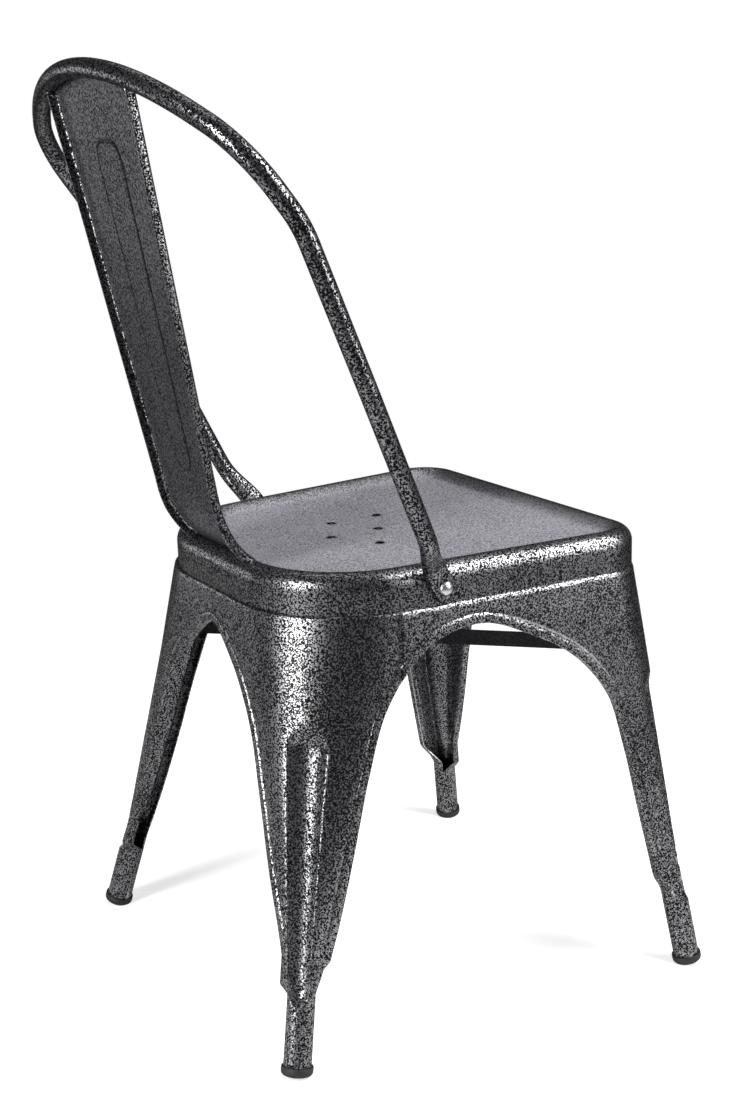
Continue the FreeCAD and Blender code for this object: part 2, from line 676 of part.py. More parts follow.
def hoop_point(name):
    rise = SEAT_HEIGHT + size(f"hoop_{name}_rise")
    across = 0.0 if name == "crown" else size(f"hoop_{name}_x")
    return Vector(across, size(f"hoop_{name}_y"), rise)


def hoop_rod(radius):
    half = [hoop_point(name) for name in ("foot", "neck", "side", "corner", "upper")]
    radii = [size(f"hoop_{name}_radius") for name in ("neck", "side", "corner", "upper")]
    other_half = [Vector(-point.x, point.y, point.z) for point in reversed(half)]
    path = rounded_path(
        half + [hoop_point("crown")] + other_half,
        radii + [size("hoop_crown_radius")] + radii[::-1],
    )
    ring = Part.Wire(Part.makeCircle(radius, half[0], half[1] - half[0]))
    return path.makePipeShell([ring], True, True)


def hoop_top(across):
    # A point of the hoop's centre line near its crown, at a distance from the plane of symmetry.
    crown = hoop_point("crown")
    upper = hoop_point("upper")
    down = Vector(0, upper.y - crown.y, upper.z - crown.z).normalize()
    half_angle = down.getAngle(upper - crown)
    radius = size("hoop_crown_radius")
    centre = crown + down * (radius / math.sin(half_angle))
    return centre - down * math.sqrt(radius ** 2 - across ** 2) + ALONG_X * across


def tab_section(centre, long, normal, half_long, half_thick, corner):
    # A rounded rectangle across the tab: wide along the wall, thin along its normal.
    wide = long.cross(normal).normalize()
    thin = wide.cross(long).normalize()
    flat = half_long - corner
    tall = half_thick - corner
    edges = []
    signs = [(1, 1), (-1, 1), (-1, -1), (1, -1)]
    for index, (across, out) in enumerate(signs):
        hub = centre + wide * across * flat + thin * out * tall
        start_angle = index * math.pi / 2
        turn = [start_angle, start_angle + math.pi / 4, start_angle + math.pi / 2]
        points = [hub + wide * math.cos(a) * corner + thin * math.sin(a) * corner for a in turn]
        edges.append(Part.Arc(*points).toShape())
    closed = []
    for index, edge in enumerate(edges):
        closed.append(edge)
        following = edges[(index + 1) % 4]
        closed.append(edge_line(edge.Vertexes[-1].Point, following.Vertexes[0].Point))
    return Part.Wire(closed)


def hoop_tab():
    # The flattened end: round where it leaves the tube, flat over the rivet, with a round tip.
    spot, normal, long = tab_frame()
    half_thick = size("tab_thickness") / 2
    middle = spot + normal * (FIT + half_thick)
    foot = hoop_point("foot")
    run = (hoop_point("neck") - foot).normalize()
    radius = size("hoop_radius")
    edge_round = size("tab_edge_share") * half_thick
    skin = size("tab_skin")
    inside = foot + run * size("tab_into_tube")
    round_end = tab_section(inside, run, normal, radius - skin, radius - skin, radius - 3 * skin)
    flat_end = tab_section(
        middle + long * size("tab_length"), long, normal, size("tab_half"), half_thick, edge_round)
    rivet_end = tab_section(middle, long, normal, size("tab_half"), half_thick, edge_round)
    neck = Part.makeLoft([rivet_end, flat_end, round_end], True, True)
    tip = Part.makeCylinder(size("tab_half"), size("tab_thickness"), middle - normal * half_thick, normal)
    tip = tip.makeFillet(size("tab_tip_share") * half_thick, [edge for edge in tip.Edges if edge.Closed])
    return neck.fuse(tip)


def back_hoop():
    tube = hoop_rod(size("hoop_radius")).cut(hoop_rod(size("hoop_radius") - size("hoop_wall")))
    tab = hoop_tab()
    hoop = tube.fuse([tab, mirrored(tab)])
    drill = rivet_drill()
    return largest_solid(hoop.cut([drill, mirrored(drill)]).removeSplitter())


# The splat

def splat_foot():
    # Where the splat's front face meets the seat's rear rim, on the plane of symmetry.
    depth = size("rear_top") - SEAT_INSET - size("crest_inset") - size("splat_before")
    return SEAT_PLACE.multVec(Vector(0, depth, 0))


def splat_side_curve():
    # Directions and points of the splat's front face, seen from the side.
    foot = splat_foot()
    top_lean = math.radians(size("splat_recline"))
    turn = math.radians(size("splat_foot_turn"))
    foot_lean = top_lean + turn
    radius = size("splat_foot_radius")
    # The centre of the bend lies before and above the curve.
    centre = foot + Vector(0, -math.cos(foot_lean), math.sin(foot_lean)) * radius
    middle_lean = top_lean + turn / 2
    middle = centre - Vector(0, -math.cos(middle_lean), math.sin(middle_lean)) * radius
    knee = centre - Vector(0, -math.cos(top_lean), math.sin(top_lean)) * radius
    run = Vector(0, math.sin(top_lean), math.cos(top_lean))
    length = (hoop_top(0).z - knee.z) / math.cos(top_lean)
    foot_run = Vector(0, math.sin(foot_lean), math.cos(foot_lean))
    return centre, radius, foot, middle, knee, knee + run * length, foot_run


def splat_slab(depth, half):
    # A slab whose front face is the splat's and whose back lies depth behind it.
    centre, radius, foot, middle, knee, top, foot_run = splat_side_curve()
    behind = (radius + depth) / radius

    def shifted(point):
        return centre + (point - centre) * behind

    below = foot - foot_run * size("splat_sink")
    outward = (foot - centre).normalize() * depth
    knee_out = (knee - centre).normalize() * depth
    edges = [
        edge_line(below, foot),
        Part.Arc(foot, middle, knee).toShape(),
        edge_line(knee, top),
        edge_line(top, top + knee_out),
        edge_line(top + knee_out, shifted(knee)),
        Part.Arc(shifted(knee), shifted(middle), shifted(foot)).toShape(),
        edge_line(shifted(foot), below + outward),
        edge_line(below + outward, below),
    ]
    face = Part.Face(Part.Wire(edges))
    face.translate(Vector(-half, 0, 0))
    return face.extrude(ALONG_X * 2 * half)


def splat_outline(shrink):
    # The splat's outline seen from the front, as a prism through the chair.
    base = splat_foot().z
    rise = size("splat_top_rise")
    waist = size("splat_waist_half")
    high = base + size("splat_waist_high")
    top_slope = (size("splat_top_half") - waist) / (rise - size("splat_waist_high"))
    end = hoop_top(size("splat_top_half")).z - size("splat_tuck")
    top_half = size("splat_top_half") + top_slope * (end - base - rise)
    right = [
        Vector(size("splat_foot_half") - shrink, -FAR, base - 2 * size("splat_sink")),
        Vector(size("splat_foot_half") - shrink, -FAR, base + size("splat_sink")),
        Vector(waist - shrink, -FAR, base + size("splat_waist_low")),
        Vector(waist - shrink, -FAR, high),
        Vector(top_half - shrink, -FAR, end),
    ]
    left = [Vector(-point.x, point.y, point.z) for point in right]
    middle = Vector(0, -FAR, hoop_top(0).z - size("splat_tuck"))
    edges = [edge_line(first, second) for first, second in zip(right, right[1:])]
    edges.append(Part.Arc(right[-1], middle, left[-1]).toShape())
    edges += [edge_line(second, first) for first, second in reversed(list(zip(left, left[1:])))]
    edges.append(edge_line(left[0], right[0]))
    return Part.Face(Part.Wire(edges)).extrude(ALONG_Y * 2 * FAR)


def raised_panel():
    # The long raised panel with round ends, as a prism seen from the front.
    base = splat_foot().z
    low = base + size("panel_low") + size("panel_half_bottom")
    high = base + size("panel_high") - size("panel_half_top")
    small = size("panel_half_bottom")
    large = size("panel_half_top")
    corners = [
        Vector(small, -FAR, low),
        Vector(large, -FAR, high),
        Vector(0, -FAR, high + large),
        Vector(-large, -FAR, high),
        Vector(-small, -FAR, low),
        Vector(0, -FAR, low - small),
    ]
    edges = [
        edge_line(corners[0], corners[1]),
        Part.Arc(corners[1], corners[2], corners[3]).toShape(),
        edge_line(corners[3], corners[4]),
        Part.Arc(corners[4], corners[5], corners[0]).toShape(),
    ]
    return Part.Face(Part.Wire(edges)).extrude(ALONG_Y * 2 * FAR)


def back_splat(hoop_outer, seat_outer):
    half = 1.5 * size("splat_top_half")
    thickness = size("splat_thickness")
    outline = splat_outline(0.0)
    web = splat_slab(thickness, half).common(outline)
    flanges = splat_slab(size("splat_flange"), half).common(outline).cut(splat_outline(thickness))
    panel = splat_slab(thickness + size("panel_proud"), half).common(raised_panel())
    splat = web.fuse([flanges, panel])
    splat = splat.cut([hoop_outer, seat_outer])
    return largest_solid(splat.removeSplitter())


# Build the pressed pieces

seat_outer = placed(seat_block(0.0).cut(seat_dish(0.0)), SEAT_PLACE)
hoop_outer = hoop_rod(size("hoop_radius") + size("brace_fit"))

add_node("seat_pan", seat_pan())
add_pair("leg_front", pressed_leg(False))
add_pair("leg_rear", pressed_leg(True))
add_node("back_hoop", back_hoop())
add_node("back_splat", back_splat(hoop_outer, seat_outer))


# Helpers for pieces that are bound to the sheet

def bind(target, field, expression):
    target.setExpression(field, expression)


def origin_plane(body, role):
    return next(item for item in body.Origin.OriginFeatures if item.Role == role)


def fix_point(sketch, geometry, point, across, up):
    # A sketch point at a distance across and up from the sketch's origin, both in sheet terms.
    for kind, expression in (("DistanceX", across), ("DistanceY", up)):
        if expression == "0":
            axis = -2 if kind == "DistanceX" else -1
            sketch.addConstraint(Sketcher.Constraint("PointOnObject", geometry, point, axis))
            continue
        index = sketch.addConstraint(Sketcher.Constraint(kind, -1, 1, geometry, point, 1.0))
        bind(sketch, f"Constraints[{index}]", expression)


def closed_outline(sketch, corners, guesses, arc_after=None):
    # Straight edges through the corners; the edge after corner arc_after is an arc round the origin.
    count = len(corners)
    for index in range(count):
        start = Vector(*guesses[index], 0)
        end = Vector(*guesses[(index + 1) % count], 0)
        if index == arc_after:
            centre = Vector(0, start.y - 1.5, 0)
            circle = Part.Circle(centre, UP, (start - centre).Length)
            first = math.atan2(start.y - centre.y, start.x - centre.x)
            sketch.addGeometry(Part.ArcOfCircle(circle, first, math.pi / 2))
        else:
            sketch.addGeometry(Part.LineSegment(start, end))
    for index in range(count):
        following = (index + 1) % count
        sketch.addConstraint(Sketcher.Constraint("Coincident", index, 2, following, 1))
    for index, (across, up) in enumerate(corners):
        fix_point(sketch, index, 1, across, up)
    if arc_after is not None:
        sketch.addConstraint(Sketcher.Constraint("PointOnObject", arc_after, 3, -2))


# Rivets through the hoop's flattened ends

def hoop_rivet(name, place):
    body = doc.addObject("PartDesign::Body", name)
    body.Label = name
    profile = body.newObject("Sketcher::SketchObject", f"{name}_profile")
    profile.AttachmentSupport = [(origin_plane(body, "XZ_Plane"), "")]
    profile.MapMode = "FlatFace"
    sheet_name = "Dimensions"
    tail = f"{sheet_name}.rivet_tail_height"
    grip = f"{sheet_name}.tab_thickness + {sheet_name}.fit_gap + {sheet_name}.sheet"
    corners = [
        ("0", "0"),
        (f"{sheet_name}.rivet_tail", "0"),
        (f"{sheet_name}.rivet_tail", tail),
        (f"{sheet_name}.rivet_shank", tail),
        (f"{sheet_name}.rivet_shank", f"{tail} + {grip}"),
        (f"{sheet_name}.rivet_head", f"{tail} + {grip}"),
        ("0", f"{tail} + {grip} + {sheet_name}.rivet_dome"),
    ]
    low = size("rivet_tail_height")
    high = low + size("tab_thickness") + FIT + SHEET
    guesses = [
        (0, 0),
        (size("rivet_tail"), 0),
        (size("rivet_tail"), low),
        (size("rivet_shank"), low),
        (size("rivet_shank"), high),
        (size("rivet_head"), high),
        (0, high + size("rivet_dome")),
    ]
    closed_outline(profile, corners, guesses, arc_after=5)
    doc.recompute()
    turned = body.newObject("PartDesign::Revolution", f"{name}_turned")
    turned.Profile = profile
    turned.ReferenceAxis = (profile, ["V_Axis"])
    turned.Angle = 360
    body.Placement = place
    nodes[name] = body


spot, normal, _ = tab_frame()
tail_face = spot - normal * (SHEET + size("rivet_tail_height"))
hoop_rivet("hoop_rivet_left", Placement(tail_face, Rotation(UP, normal)))
mirror_spot = Vector(-tail_face.x, tail_face.y, tail_face.z)
mirror_normal = Vector(-normal.x, normal.y, normal.z)
hoop_rivet("hoop_rivet_right", Placement(mirror_spot, Rotation(UP, mirror_normal)))


# Foot caps: a round-ended cup on each tube, with a small level facet where it stands

def foot_cap(name, rear, side):
    direction = tube_direction(rear)
    direction.x *= side
    end = tube_axis(rear, size("cap_rise"))
    end.x *= side
    turn = Rotation(UP, direction)
    cup = doc.addObject("Part::Cylinder", f"{name}_cup")
    bind(cup, "Radius", "Dimensions.tube_radius + Dimensions.cap_fit + Dimensions.cap_wall")
    bind(cup, "Height", "Dimensions.cap_height")
    cup.Placement = Placement(end, turn)
    bore = doc.addObject("Part::Cylinder", f"{name}_bore")
    bind(bore, "Radius", "Dimensions.tube_radius + Dimensions.cap_fit")
    bind(bore, "Height", "Dimensions.cap_height")
    bore.Placement = Placement(end + direction * size("cap_floor"), turn)
    doc.recompute()
    rounded = doc.addObject("Part::Fillet", f"{name}_rounded")
    rounded.Base = cup
    for index, edge in enumerate(cup.Shape.Edges, start=1):
        if edge.Closed and edge.CenterOfMass.distanceToPoint(end) < size("cap_floor"):
            rounded.Edges = [(index, size("cap_round"), size("cap_round"))]
    above_floor = doc.addObject("Part::Box", f"{name}_above_floor")
    for side_name in ("Length", "Width", "Height"):
        bind(above_floor, side_name, "8 * Dimensions.tube_radius")
    half = 4 * size("tube_radius")
    above_floor.Placement = Placement(Vector(end.x - half, end.y - half, 0), Rotation())
    solid = doc.addObject("Part::Common", f"{name}_solid")
    solid.Base = rounded
    solid.Tool = above_floor
    cap = doc.addObject("Part::Cut", name)
    cap.Label = name
    cap.Base = solid
    cap.Tool = bore
    nodes[name] = cap


for rear, end in ((False, "front"), (True, "rear")):
    foot_cap(f"foot_cap_{end}_left", rear, 1)
    foot_cap(f"foot_cap_{end}_right", rear, -1)


# The cross brace: two angle bars, half-lapped where they cross

leg_inside = doc.addObject("Part::Feature", "leg_inside")
front_room = envelope(FRONT_INSET + SHEET + size("brace_fit"))
front_room = front_room.common(box_between(Vector(-FAR, -FAR, 0), Vector(FAR, 0, FAR)))
rear_room = envelope(REAR_INSET + SHEET + size("brace_fit"))
rear_room = rear_room.common(box_between(Vector(-FAR, 0, 0), Vector(FAR, FAR, FAR)))
leg_inside.Shape = front_room.fuse(rear_room)


def brace_line(side):
    # The bar's two aiming points, at the height of its top edge, from rear to front.
    rear = SEAT_PLACE.multVec(Vector(side * size("brace_rear_x"), size("brace_rear_y"), -size("brace_drop")))
    front = SEAT_PLACE.multVec(
        Vector(-side * size("brace_front_x"), -size("brace_front_y"), -size("brace_drop")))
    return rear, front


def brace_crossing():
    rear, front = brace_line(1)
    share = rear.x / (rear.x - front.x)
    return rear + (front - rear) * share


def brace_place(side):
    rear, front = brace_line(side)
    along = (front - rear).normalize()
    across = UP.cross(along).normalize()
    upright = along.cross(across)
    middle = brace_crossing()
    matrix = FreeCAD.Matrix(
        along.x, across.x, upright.x, middle.x,
        along.y, across.y, upright.y, middle.y,
        along.z, across.z, upright.z, middle.z,
        0, 0, 0, 1)
    return Placement(matrix)


def brace_bar(name, side):
    body = doc.addObject("PartDesign::Body", f"{name}_bar")
    profile = body.newObject("Sketcher::SketchObject", f"{name}_profile")
    profile.AttachmentSupport = [(origin_plane(body, "YZ_Plane"), "")]
    profile.MapMode = "FlatFace"
    tall = "-Dimensions.brace_height"
    foot_top = "-(Dimensions.brace_height - Dimensions.brace_sheet)"
    corners = [
        ("0", "0"),
        ("0", tall),
        ("Dimensions.brace_width", tall),
        ("Dimensions.brace_width", foot_top),
        ("Dimensions.brace_sheet", foot_top),
        ("Dimensions.brace_sheet", "0"),
    ]
    height = size("brace_height")
    width = size("brace_width")
    thick = size("brace_sheet")
    guesses = [(0, 0), (0, -height), (width, -height), (width, thick - height), (thick, thick - height), (thick, 0)]
    closed_outline(profile, corners, guesses)
    doc.recompute()
    bar = body.newObject("PartDesign::Pad", f"{name}_pad")
    bar.Profile = profile
    bar.Midplane = True
    bind(bar, "Length", "4 * (Dimensions.brace_front_x + Dimensions.brace_rear_x)")
    body.Placement = brace_place(side)
    trimmed = doc.addObject("Part::Common", f"{name}_trimmed")
    trimmed.Base = body
    trimmed.Tool = leg_inside
    return trimmed


def evaluated(expression):
    return float(sheet.evalExpression(expression))


def crossing_slot(name, side, low, high, low_across, high_across):
    # A block along the other bar, over the stated part of its section.
    block = doc.addObject("Part::Box", name)
    bind(block, "Length", "6 * Dimensions.brace_height")
    bind(block, "Width", f"({high_across}) - ({low_across})")
    bind(block, "Height", f"({high}) - ({low})")
    place = brace_place(side)
    doc.recompute()
    start = Vector(-block.Length.Value / 2, evaluated(low_across), evaluated(low))
    block.Placement = place.multiply(Placement(start, Rotation()))
    return block


upper_bar = brace_bar("cross_brace_upper", 1)
lower_bar = brace_bar("cross_brace_lower", -1)
GAP = "Dimensions.brace_fit"
HALF_WEB = "-Dimensions.brace_height / 2"
SHEET_THICK = "Dimensions.brace_sheet"
upper_slot = crossing_slot(
    "cross_brace_upper_slot", -1, f"{HALF_WEB} - {GAP} / 2", GAP, f"-{GAP}", f"{SHEET_THICK} + {GAP}")
lower_slot = crossing_slot(
    "cross_brace_lower_slot", 1, f"-Dimensions.brace_height - {GAP}", f"{HALF_WEB} + {GAP} / 2",
    f"-{GAP}", f"{SHEET_THICK} + {GAP}")
lower_foot_slot = crossing_slot(
    "cross_brace_lower_foot_slot", 1, f"-Dimensions.brace_height - {GAP}",
    f"-Dimensions.brace_height + {SHEET_THICK} + {GAP}", f"-{GAP}", f"Dimensions.brace_width + {GAP}")

upper = doc.addObject("Part::Cut", "cross_brace_upper")
upper.Label = "cross_brace_upper"
upper.Base = upper_bar
upper.Tool = upper_slot
nodes["cross_brace_upper"] = upper
lower_web = doc.addObject("Part::Cut", "cross_brace_lower_web")
lower_web.Base = lower_bar
lower_web.Tool = lower_slot
lower = doc.addObject("Part::Cut", "cross_brace_lower")
lower.Label = "cross_brace_lower"
lower.Base = lower_web
lower.Tool = lower_foot_slot
nodes["cross_brace_lower"] = lower


# Weld beads: long drops of metal, fitted to the pieces that they join

def weld_bead(name, centre, along, long, round_size, neighbours, within=None):
    drop = doc.addObject("Part::Ellipsoid", f"{name}_drop")
    bind(drop, "Radius1", f"Dimensions.{round_size}")
    bind(drop, "Radius2", f"Dimensions.{long}")
    bind(drop, "Radius3", f"Dimensions.{round_size}")
    drop.Placement = Placement(centre, Rotation(ALONG_X, along))
    doc.recompute()
    bead = drop.Shape.cut([nodes[neighbour].Shape for neighbour in neighbours])
    if within is not None:
        bead = bead.common(within.Shape)
    node = doc.addObject("Part::Feature", name)
    node.Label = name
    node.Shape = largest_solid(bead)
    nodes[name] = node


doc.recompute()

# The foot welds run from the splat's foot down the outer round of the rim.
foot = splat_foot()
foot_half = size("splat_foot_half")
rim_run = Vector(0, 1, -size("foot_weld_fall")).normalize()
for side, hand in ((1, "left"), (-1, "right")):
    foot_spot = Vector(side * foot_half, foot.y, foot.z) + rim_run * size("foot_weld_long")
    weld_bead(f"splat_foot_weld_{hand}", foot_spot, rim_run,
              "foot_weld_long", "foot_weld_round", ["seat_pan", "back_splat"])

top_lean = math.radians(size("splat_recline"))
knee = splat_side_curve()[4]
head_height = foot.z + size("splat_top_rise") - size("head_weld_level")
head_y = knee.y + (head_height - knee.z) * math.tan(top_lean)
for side, hand in ((1, "left"), (-1, "right")):
    head_spot = Vector(
        side * (size("splat_top_half") + size("head_weld_out")),
        head_y + size("head_weld_back"),
        head_height - size("head_weld_down"))
    weld_bead(f"splat_head_weld_{hand}", head_spot, Vector(0, 1, size("head_weld_rise")),
              "head_weld_long", "head_weld_round", ["back_hoop", "back_splat"])

BRACE_ENDS = [
    ("rear_left", "cross_brace_upper", 1, 0, "leg_rear_left"),
    ("front_right", "cross_brace_upper", 1, 1, "leg_front_right"),
    ("rear_right", "cross_brace_lower", -1, 0, "leg_rear_right"),
    ("front_left", "cross_brace_lower", -1, 1, "leg_front_left"),
]
for corner, bar_name, side, end, leg_name in BRACE_ENDS:
    place = brace_place(side)
    inverse = place.inverse()
    tips = [inverse.multVec(vertex.Point).x for vertex in nodes[bar_name].Shape.Vertexes]
    tip = max(tips) if end else min(tips)
    inside = tip - math.copysign(size("brace_weld_in"), tip)
    local = Vector(inside, size("brace_sheet") / 2, -size("brace_weld_share") * size("brace_height"))
    weld_bead(f"brace_weld_{corner}", place.multVec(local), UP,
              "brace_weld_long", "brace_weld_round", [bar_name, leg_name], leg_inside)

doc.recompute()

# Put the origin under the middle of the chair's whole box
boxes = [node.Shape.optimalBoundingBox(False, False) for node in nodes.values()]
middle_y = (min(box.YMin for box in boxes) + max(box.YMax for box in boxes)) / 2
to_origin = Placement(Vector(0, -middle_y, 0), Rotation())
for node in nodes.values():
    node.Placement = to_origin.multiply(node.Placement)
doc.recompute()
print(f"moved by {-middle_y:.3f} along y")

# Check every object, then write each node
for item in doc.Objects:
    if "Invalid" in item.State or "Error" in item.State:
        raise RuntimeError(f"{item.Name} is in state {item.State}")
for name, node in nodes.items():
    shape = node.Shape
    if shape.isNull() or not shape.isValid():
        raise RuntimeError(f"{name} has no valid shape")

os.makedirs("parts", exist_ok=True)
for name, node in nodes.items():
    node.Shape.exportStep(f"parts/{name}.step")
    box = node.Shape.BoundBox
    print(f"{name:24s} solids {len(node.Shape.Solids)} volume {node.Shape.Volume / 1000:8.2f} cm3 "
          f"x {box.XMin:7.1f} {box.XMax:7.1f} y {box.YMin:7.1f} {box.YMax:7.1f} z {box.ZMin:6.1f} {box.ZMax:6.1f}")
print(f"{len(nodes)} nodes")
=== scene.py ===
# %% [markdown]
# A bistro side chair of pressed sheet steel.
# The chair is a handful of steel sheets, pressed and folded, with one bent tube for its back.
# The CAD model gives each piece its place. This file gives the pieces their soft folds,
# their pressed flutes and their hammered paint.
# The chair's sizes are written in millimetres and turned into metres where a mesh is made.

import math

import bmesh
import bpy
from mathutils import Matrix, Vector


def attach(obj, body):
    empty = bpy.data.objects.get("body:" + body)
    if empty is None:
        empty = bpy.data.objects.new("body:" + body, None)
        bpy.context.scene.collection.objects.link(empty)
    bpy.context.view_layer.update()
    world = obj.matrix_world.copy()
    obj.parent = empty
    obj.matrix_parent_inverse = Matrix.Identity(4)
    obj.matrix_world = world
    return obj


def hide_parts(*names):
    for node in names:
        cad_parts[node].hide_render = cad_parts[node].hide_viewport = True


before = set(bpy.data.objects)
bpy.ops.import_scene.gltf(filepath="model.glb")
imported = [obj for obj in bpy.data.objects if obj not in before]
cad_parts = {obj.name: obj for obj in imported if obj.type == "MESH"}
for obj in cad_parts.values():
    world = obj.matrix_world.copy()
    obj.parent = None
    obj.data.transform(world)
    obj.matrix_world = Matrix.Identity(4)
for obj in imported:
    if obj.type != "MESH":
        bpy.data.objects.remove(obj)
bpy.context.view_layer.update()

# %% [markdown]
# The camera comes first, because everything is judged from where the photograph was taken.
# It stands behind the chair, a little above it. Its place was worked out from the feet, the seat
# and the hoop, whose spots in the picture are known. It is easiest to give it as a turn, a lift
# and a distance from a point that it looks at, as a photographer would walk round the chair.

# %% Place the camera
MM = 0.001

# The origin lies under the middle of the chair's whole box, this far behind the seat's own middle
SEAT_TO_ORIGIN = 33.377

CAMERA_TURN = math.radians(238.5163)
CAMERA_LIFT = math.radians(14.0789)
CAMERA_ROLL = math.radians(0.4957)
CAMERA_DISTANCE = 1589.368
CAMERA_AIM = Vector((8.7533, 14.4623, 401.6512))
FOCAL_PIXELS = 1641.2194
PHOTO_HEIGHT = 1100
SENSOR = 36.0


def in_frame(point):
    # From millimetres about the seat's middle to metres in the chair's own frame.
    return Vector((point[0], point[1] - SEAT_TO_ORIGIN, point[2])) * MM


def add_object(name, data):
    made = bpy.data.objects.new(name, data)
    bpy.context.scene.collection.objects.link(made)
    return made


camera_back = Vector((
    math.sin(CAMERA_TURN) * math.cos(CAMERA_LIFT),
    -math.cos(CAMERA_TURN) * math.cos(CAMERA_LIFT),
    math.sin(CAMERA_LIFT)))
level_right = Vector((math.cos(CAMERA_TURN), math.sin(CAMERA_TURN), 0))
level_up = camera_back.cross(level_right)
camera_right = level_right * math.cos(CAMERA_ROLL) + level_up * math.sin(CAMERA_ROLL)
camera_up = camera_back.cross(camera_right)
camera_place = in_frame(CAMERA_AIM + camera_back * CAMERA_DISTANCE)

camera_data = bpy.data.cameras.new("camera")
camera_data.sensor_width = SENSOR
camera_data.lens = FOCAL_PIXELS * SENSOR / PHOTO_HEIGHT
camera = add_object("camera", camera_data)
turn = Matrix((camera_right, camera_up, camera_back)).transposed()
camera.matrix_world = Matrix.Translation(camera_place) @ turn.to_4x4()
bpy.context.scene.camera = camera
print("Camera at", [round(value, 3) for value in camera_place], "lens", round(camera_data.lens, 2))

# %% [markdown]
# Small tools come next. A pressed sheet starts as a flat grid, whose points are then moved to where
# the press would put them, because a grid has no stray faces and bends evenly. Each point also
# keeps two numbers for the paint: how fine its grain is there, and how much painted shade it gets.
# The sheet gets its thickness, its cut edges are softened, and it is shaded smooth, with a hard
# edge only where two faces meet at a clear angle.

# %% Tools for meshes
HARD_EDGE = math.radians(32)
CUT_EDGE = math.radians(60)
CUT_EDGE_ROUND = 0.25
SEAM_REACH = 0.02
QUARTER = math.pi / 2
FINE_LAYER = "fine paint"
SHADE_LAYER = "painted shade"


def smooth_step(value, low, high):
    # 0 below low, 1 above high, and a soft S between them.
    share = min(max((value - low) / (high - low), 0.0), 1.0)
    return share * share * (3 - 2 * share)


def blend(first, second, share):
    return first + (second - first) * share


def stops(*stretches):
    # Marks along a line, from stretches that each give a start, an end and a number of steps.
    marks = [stretches[0][0]]
    for start, end, count in stretches:
        marks += [start + (end - start) * step / count for step in range(1, count + 1)]
    return marks


def quarter_round(radius, steps):
    # A quarter of a circle, from (0, radius) to (radius, 0), where it runs out level.
    angles = [QUARTER * (1 - step / steps) for step in range(steps + 1)]
    return [(radius * (1 - math.sin(angle)), radius * (1 - math.cos(angle))) for angle in angles]


def flipped(spot, side=1, facing=1):
    # The same spot on the chair's other side, or at its other end, where the value is -1.
    return Vector((side * spot.x, facing * spot.y, spot.z))


def rolled_grid(columns, rows, shape, keep=None, fine=None, shade=None):
    # A flat grid of columns by rows that is pressed into shape(column, row).
    # keep(column, row) says which of its faces stay, fine(column, row) how fine its paint is
    # and shade(column, row) how much painted shade it gets.
    mesh = bmesh.new()
    layers = mesh.verts.layers.float
    for name in (FINE_LAYER, SHADE_LAYER):
        layers.new(name)
    fine_layer = layers[FINE_LAYER]
    shade_layer = layers[SHADE_LAYER]
    bmesh.ops.create_grid(mesh, x_segments=columns, y_segments=rows, size=0.5)
    if keep is not None:
        dropped = []
        for face in mesh.faces:
            middle = face.calc_center_median()
            if not keep(math.floor((middle.x + 0.5) * columns), math.floor((middle.y + 0.5) * rows)):
                dropped.append(face)
        bmesh.ops.delete(mesh, geom=dropped, context="FACES")
    for vert in mesh.verts:
        column = round((vert.co.x + 0.5) * columns)
        row = round((vert.co.y + 0.5) * rows)
        vert.co = in_frame(shape(column, row))
        vert[fine_layer] = fine(column, row) if fine else 0.0
        vert[shade_layer] = shade(column, row) if shade else 0.0
    return mesh


def join_seams(mesh):
    bmesh.ops.remove_doubles(mesh, verts=mesh.verts, dist=SEAM_REACH * MM)


def face_away(mesh, middle):
    # An open sheet is turned so that its faces look away from a point given in millimetres.
    bmesh.ops.recalc_face_normals(mesh, faces=mesh.faces)
    inside = in_frame(middle)
    looks = sum(
        face.normal.dot(face.calc_center_median() - inside) * face.calc_area() for face in mesh.faces)
    if looks < 0:
        bmesh.ops.reverse_faces(mesh, faces=mesh.faces)


def give_wall(mesh, wall):
    # A sheet gets its thickness on its back, and its cut edges are softened.
    bmesh.ops.solidify(mesh, geom=mesh.faces[:], thickness=wall * MM)
    sharp = [edge for edge in mesh.edges if edge.is_manifold and edge.calc_face_angle() > CUT_EDGE]
    bmesh.ops.bevel(
        mesh, geom=sharp, offset=CUT_EDGE_ROUND * MM, offset_type="OFFSET", segments=2,
        profile=0.5, material=-1, affect="EDGES", clamp_overlap=True)


def mirrored_mesh(mesh):
    # The same shape on the chair's other side.
    other = mesh.copy()
    bmesh.ops.scale(other, vec=(-1, 1, 1), verts=other.verts)
    bmesh.ops.reverse_faces(other, faces=other.faces)
    return other


def make_piece(name, mesh, material, slot, *replaced):
    # The finished mesh becomes an object at the origin that rides with the chair.
    data = bpy.data.meshes.new(name)
    mesh.to_mesh(data)
    mesh.free()
    data.shade_smooth()
    data.set_sharp_from_angle(angle=HARD_EDGE)
    data.materials.append(material)
    piece = add_object(name, data)
    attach(piece, "root")
    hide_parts(*replaced)
    triangles = sum(len(face.vertices) - 2 for face in data.polygons)
    corners = [vert.co / MM for vert in data.vertices]
    low = [round(min(corner[axis] for corner in corners), 1) for axis in range(3)]
    high = [round(max(corner[axis] for corner in corners), 1) for axis in range(3)]
    print(f"{name}: {triangles} triangles, from {low} to {high} mm")


print("Marks over a stretch of 10 mm:", stops((0.0, 10.0, 4)))

# %% [markdown]
# A material is a small network of nodes. Most nodes need the same few things said about them, so
# one helper makes a node, sets it up, and gives each input a number or the output that feeds it.

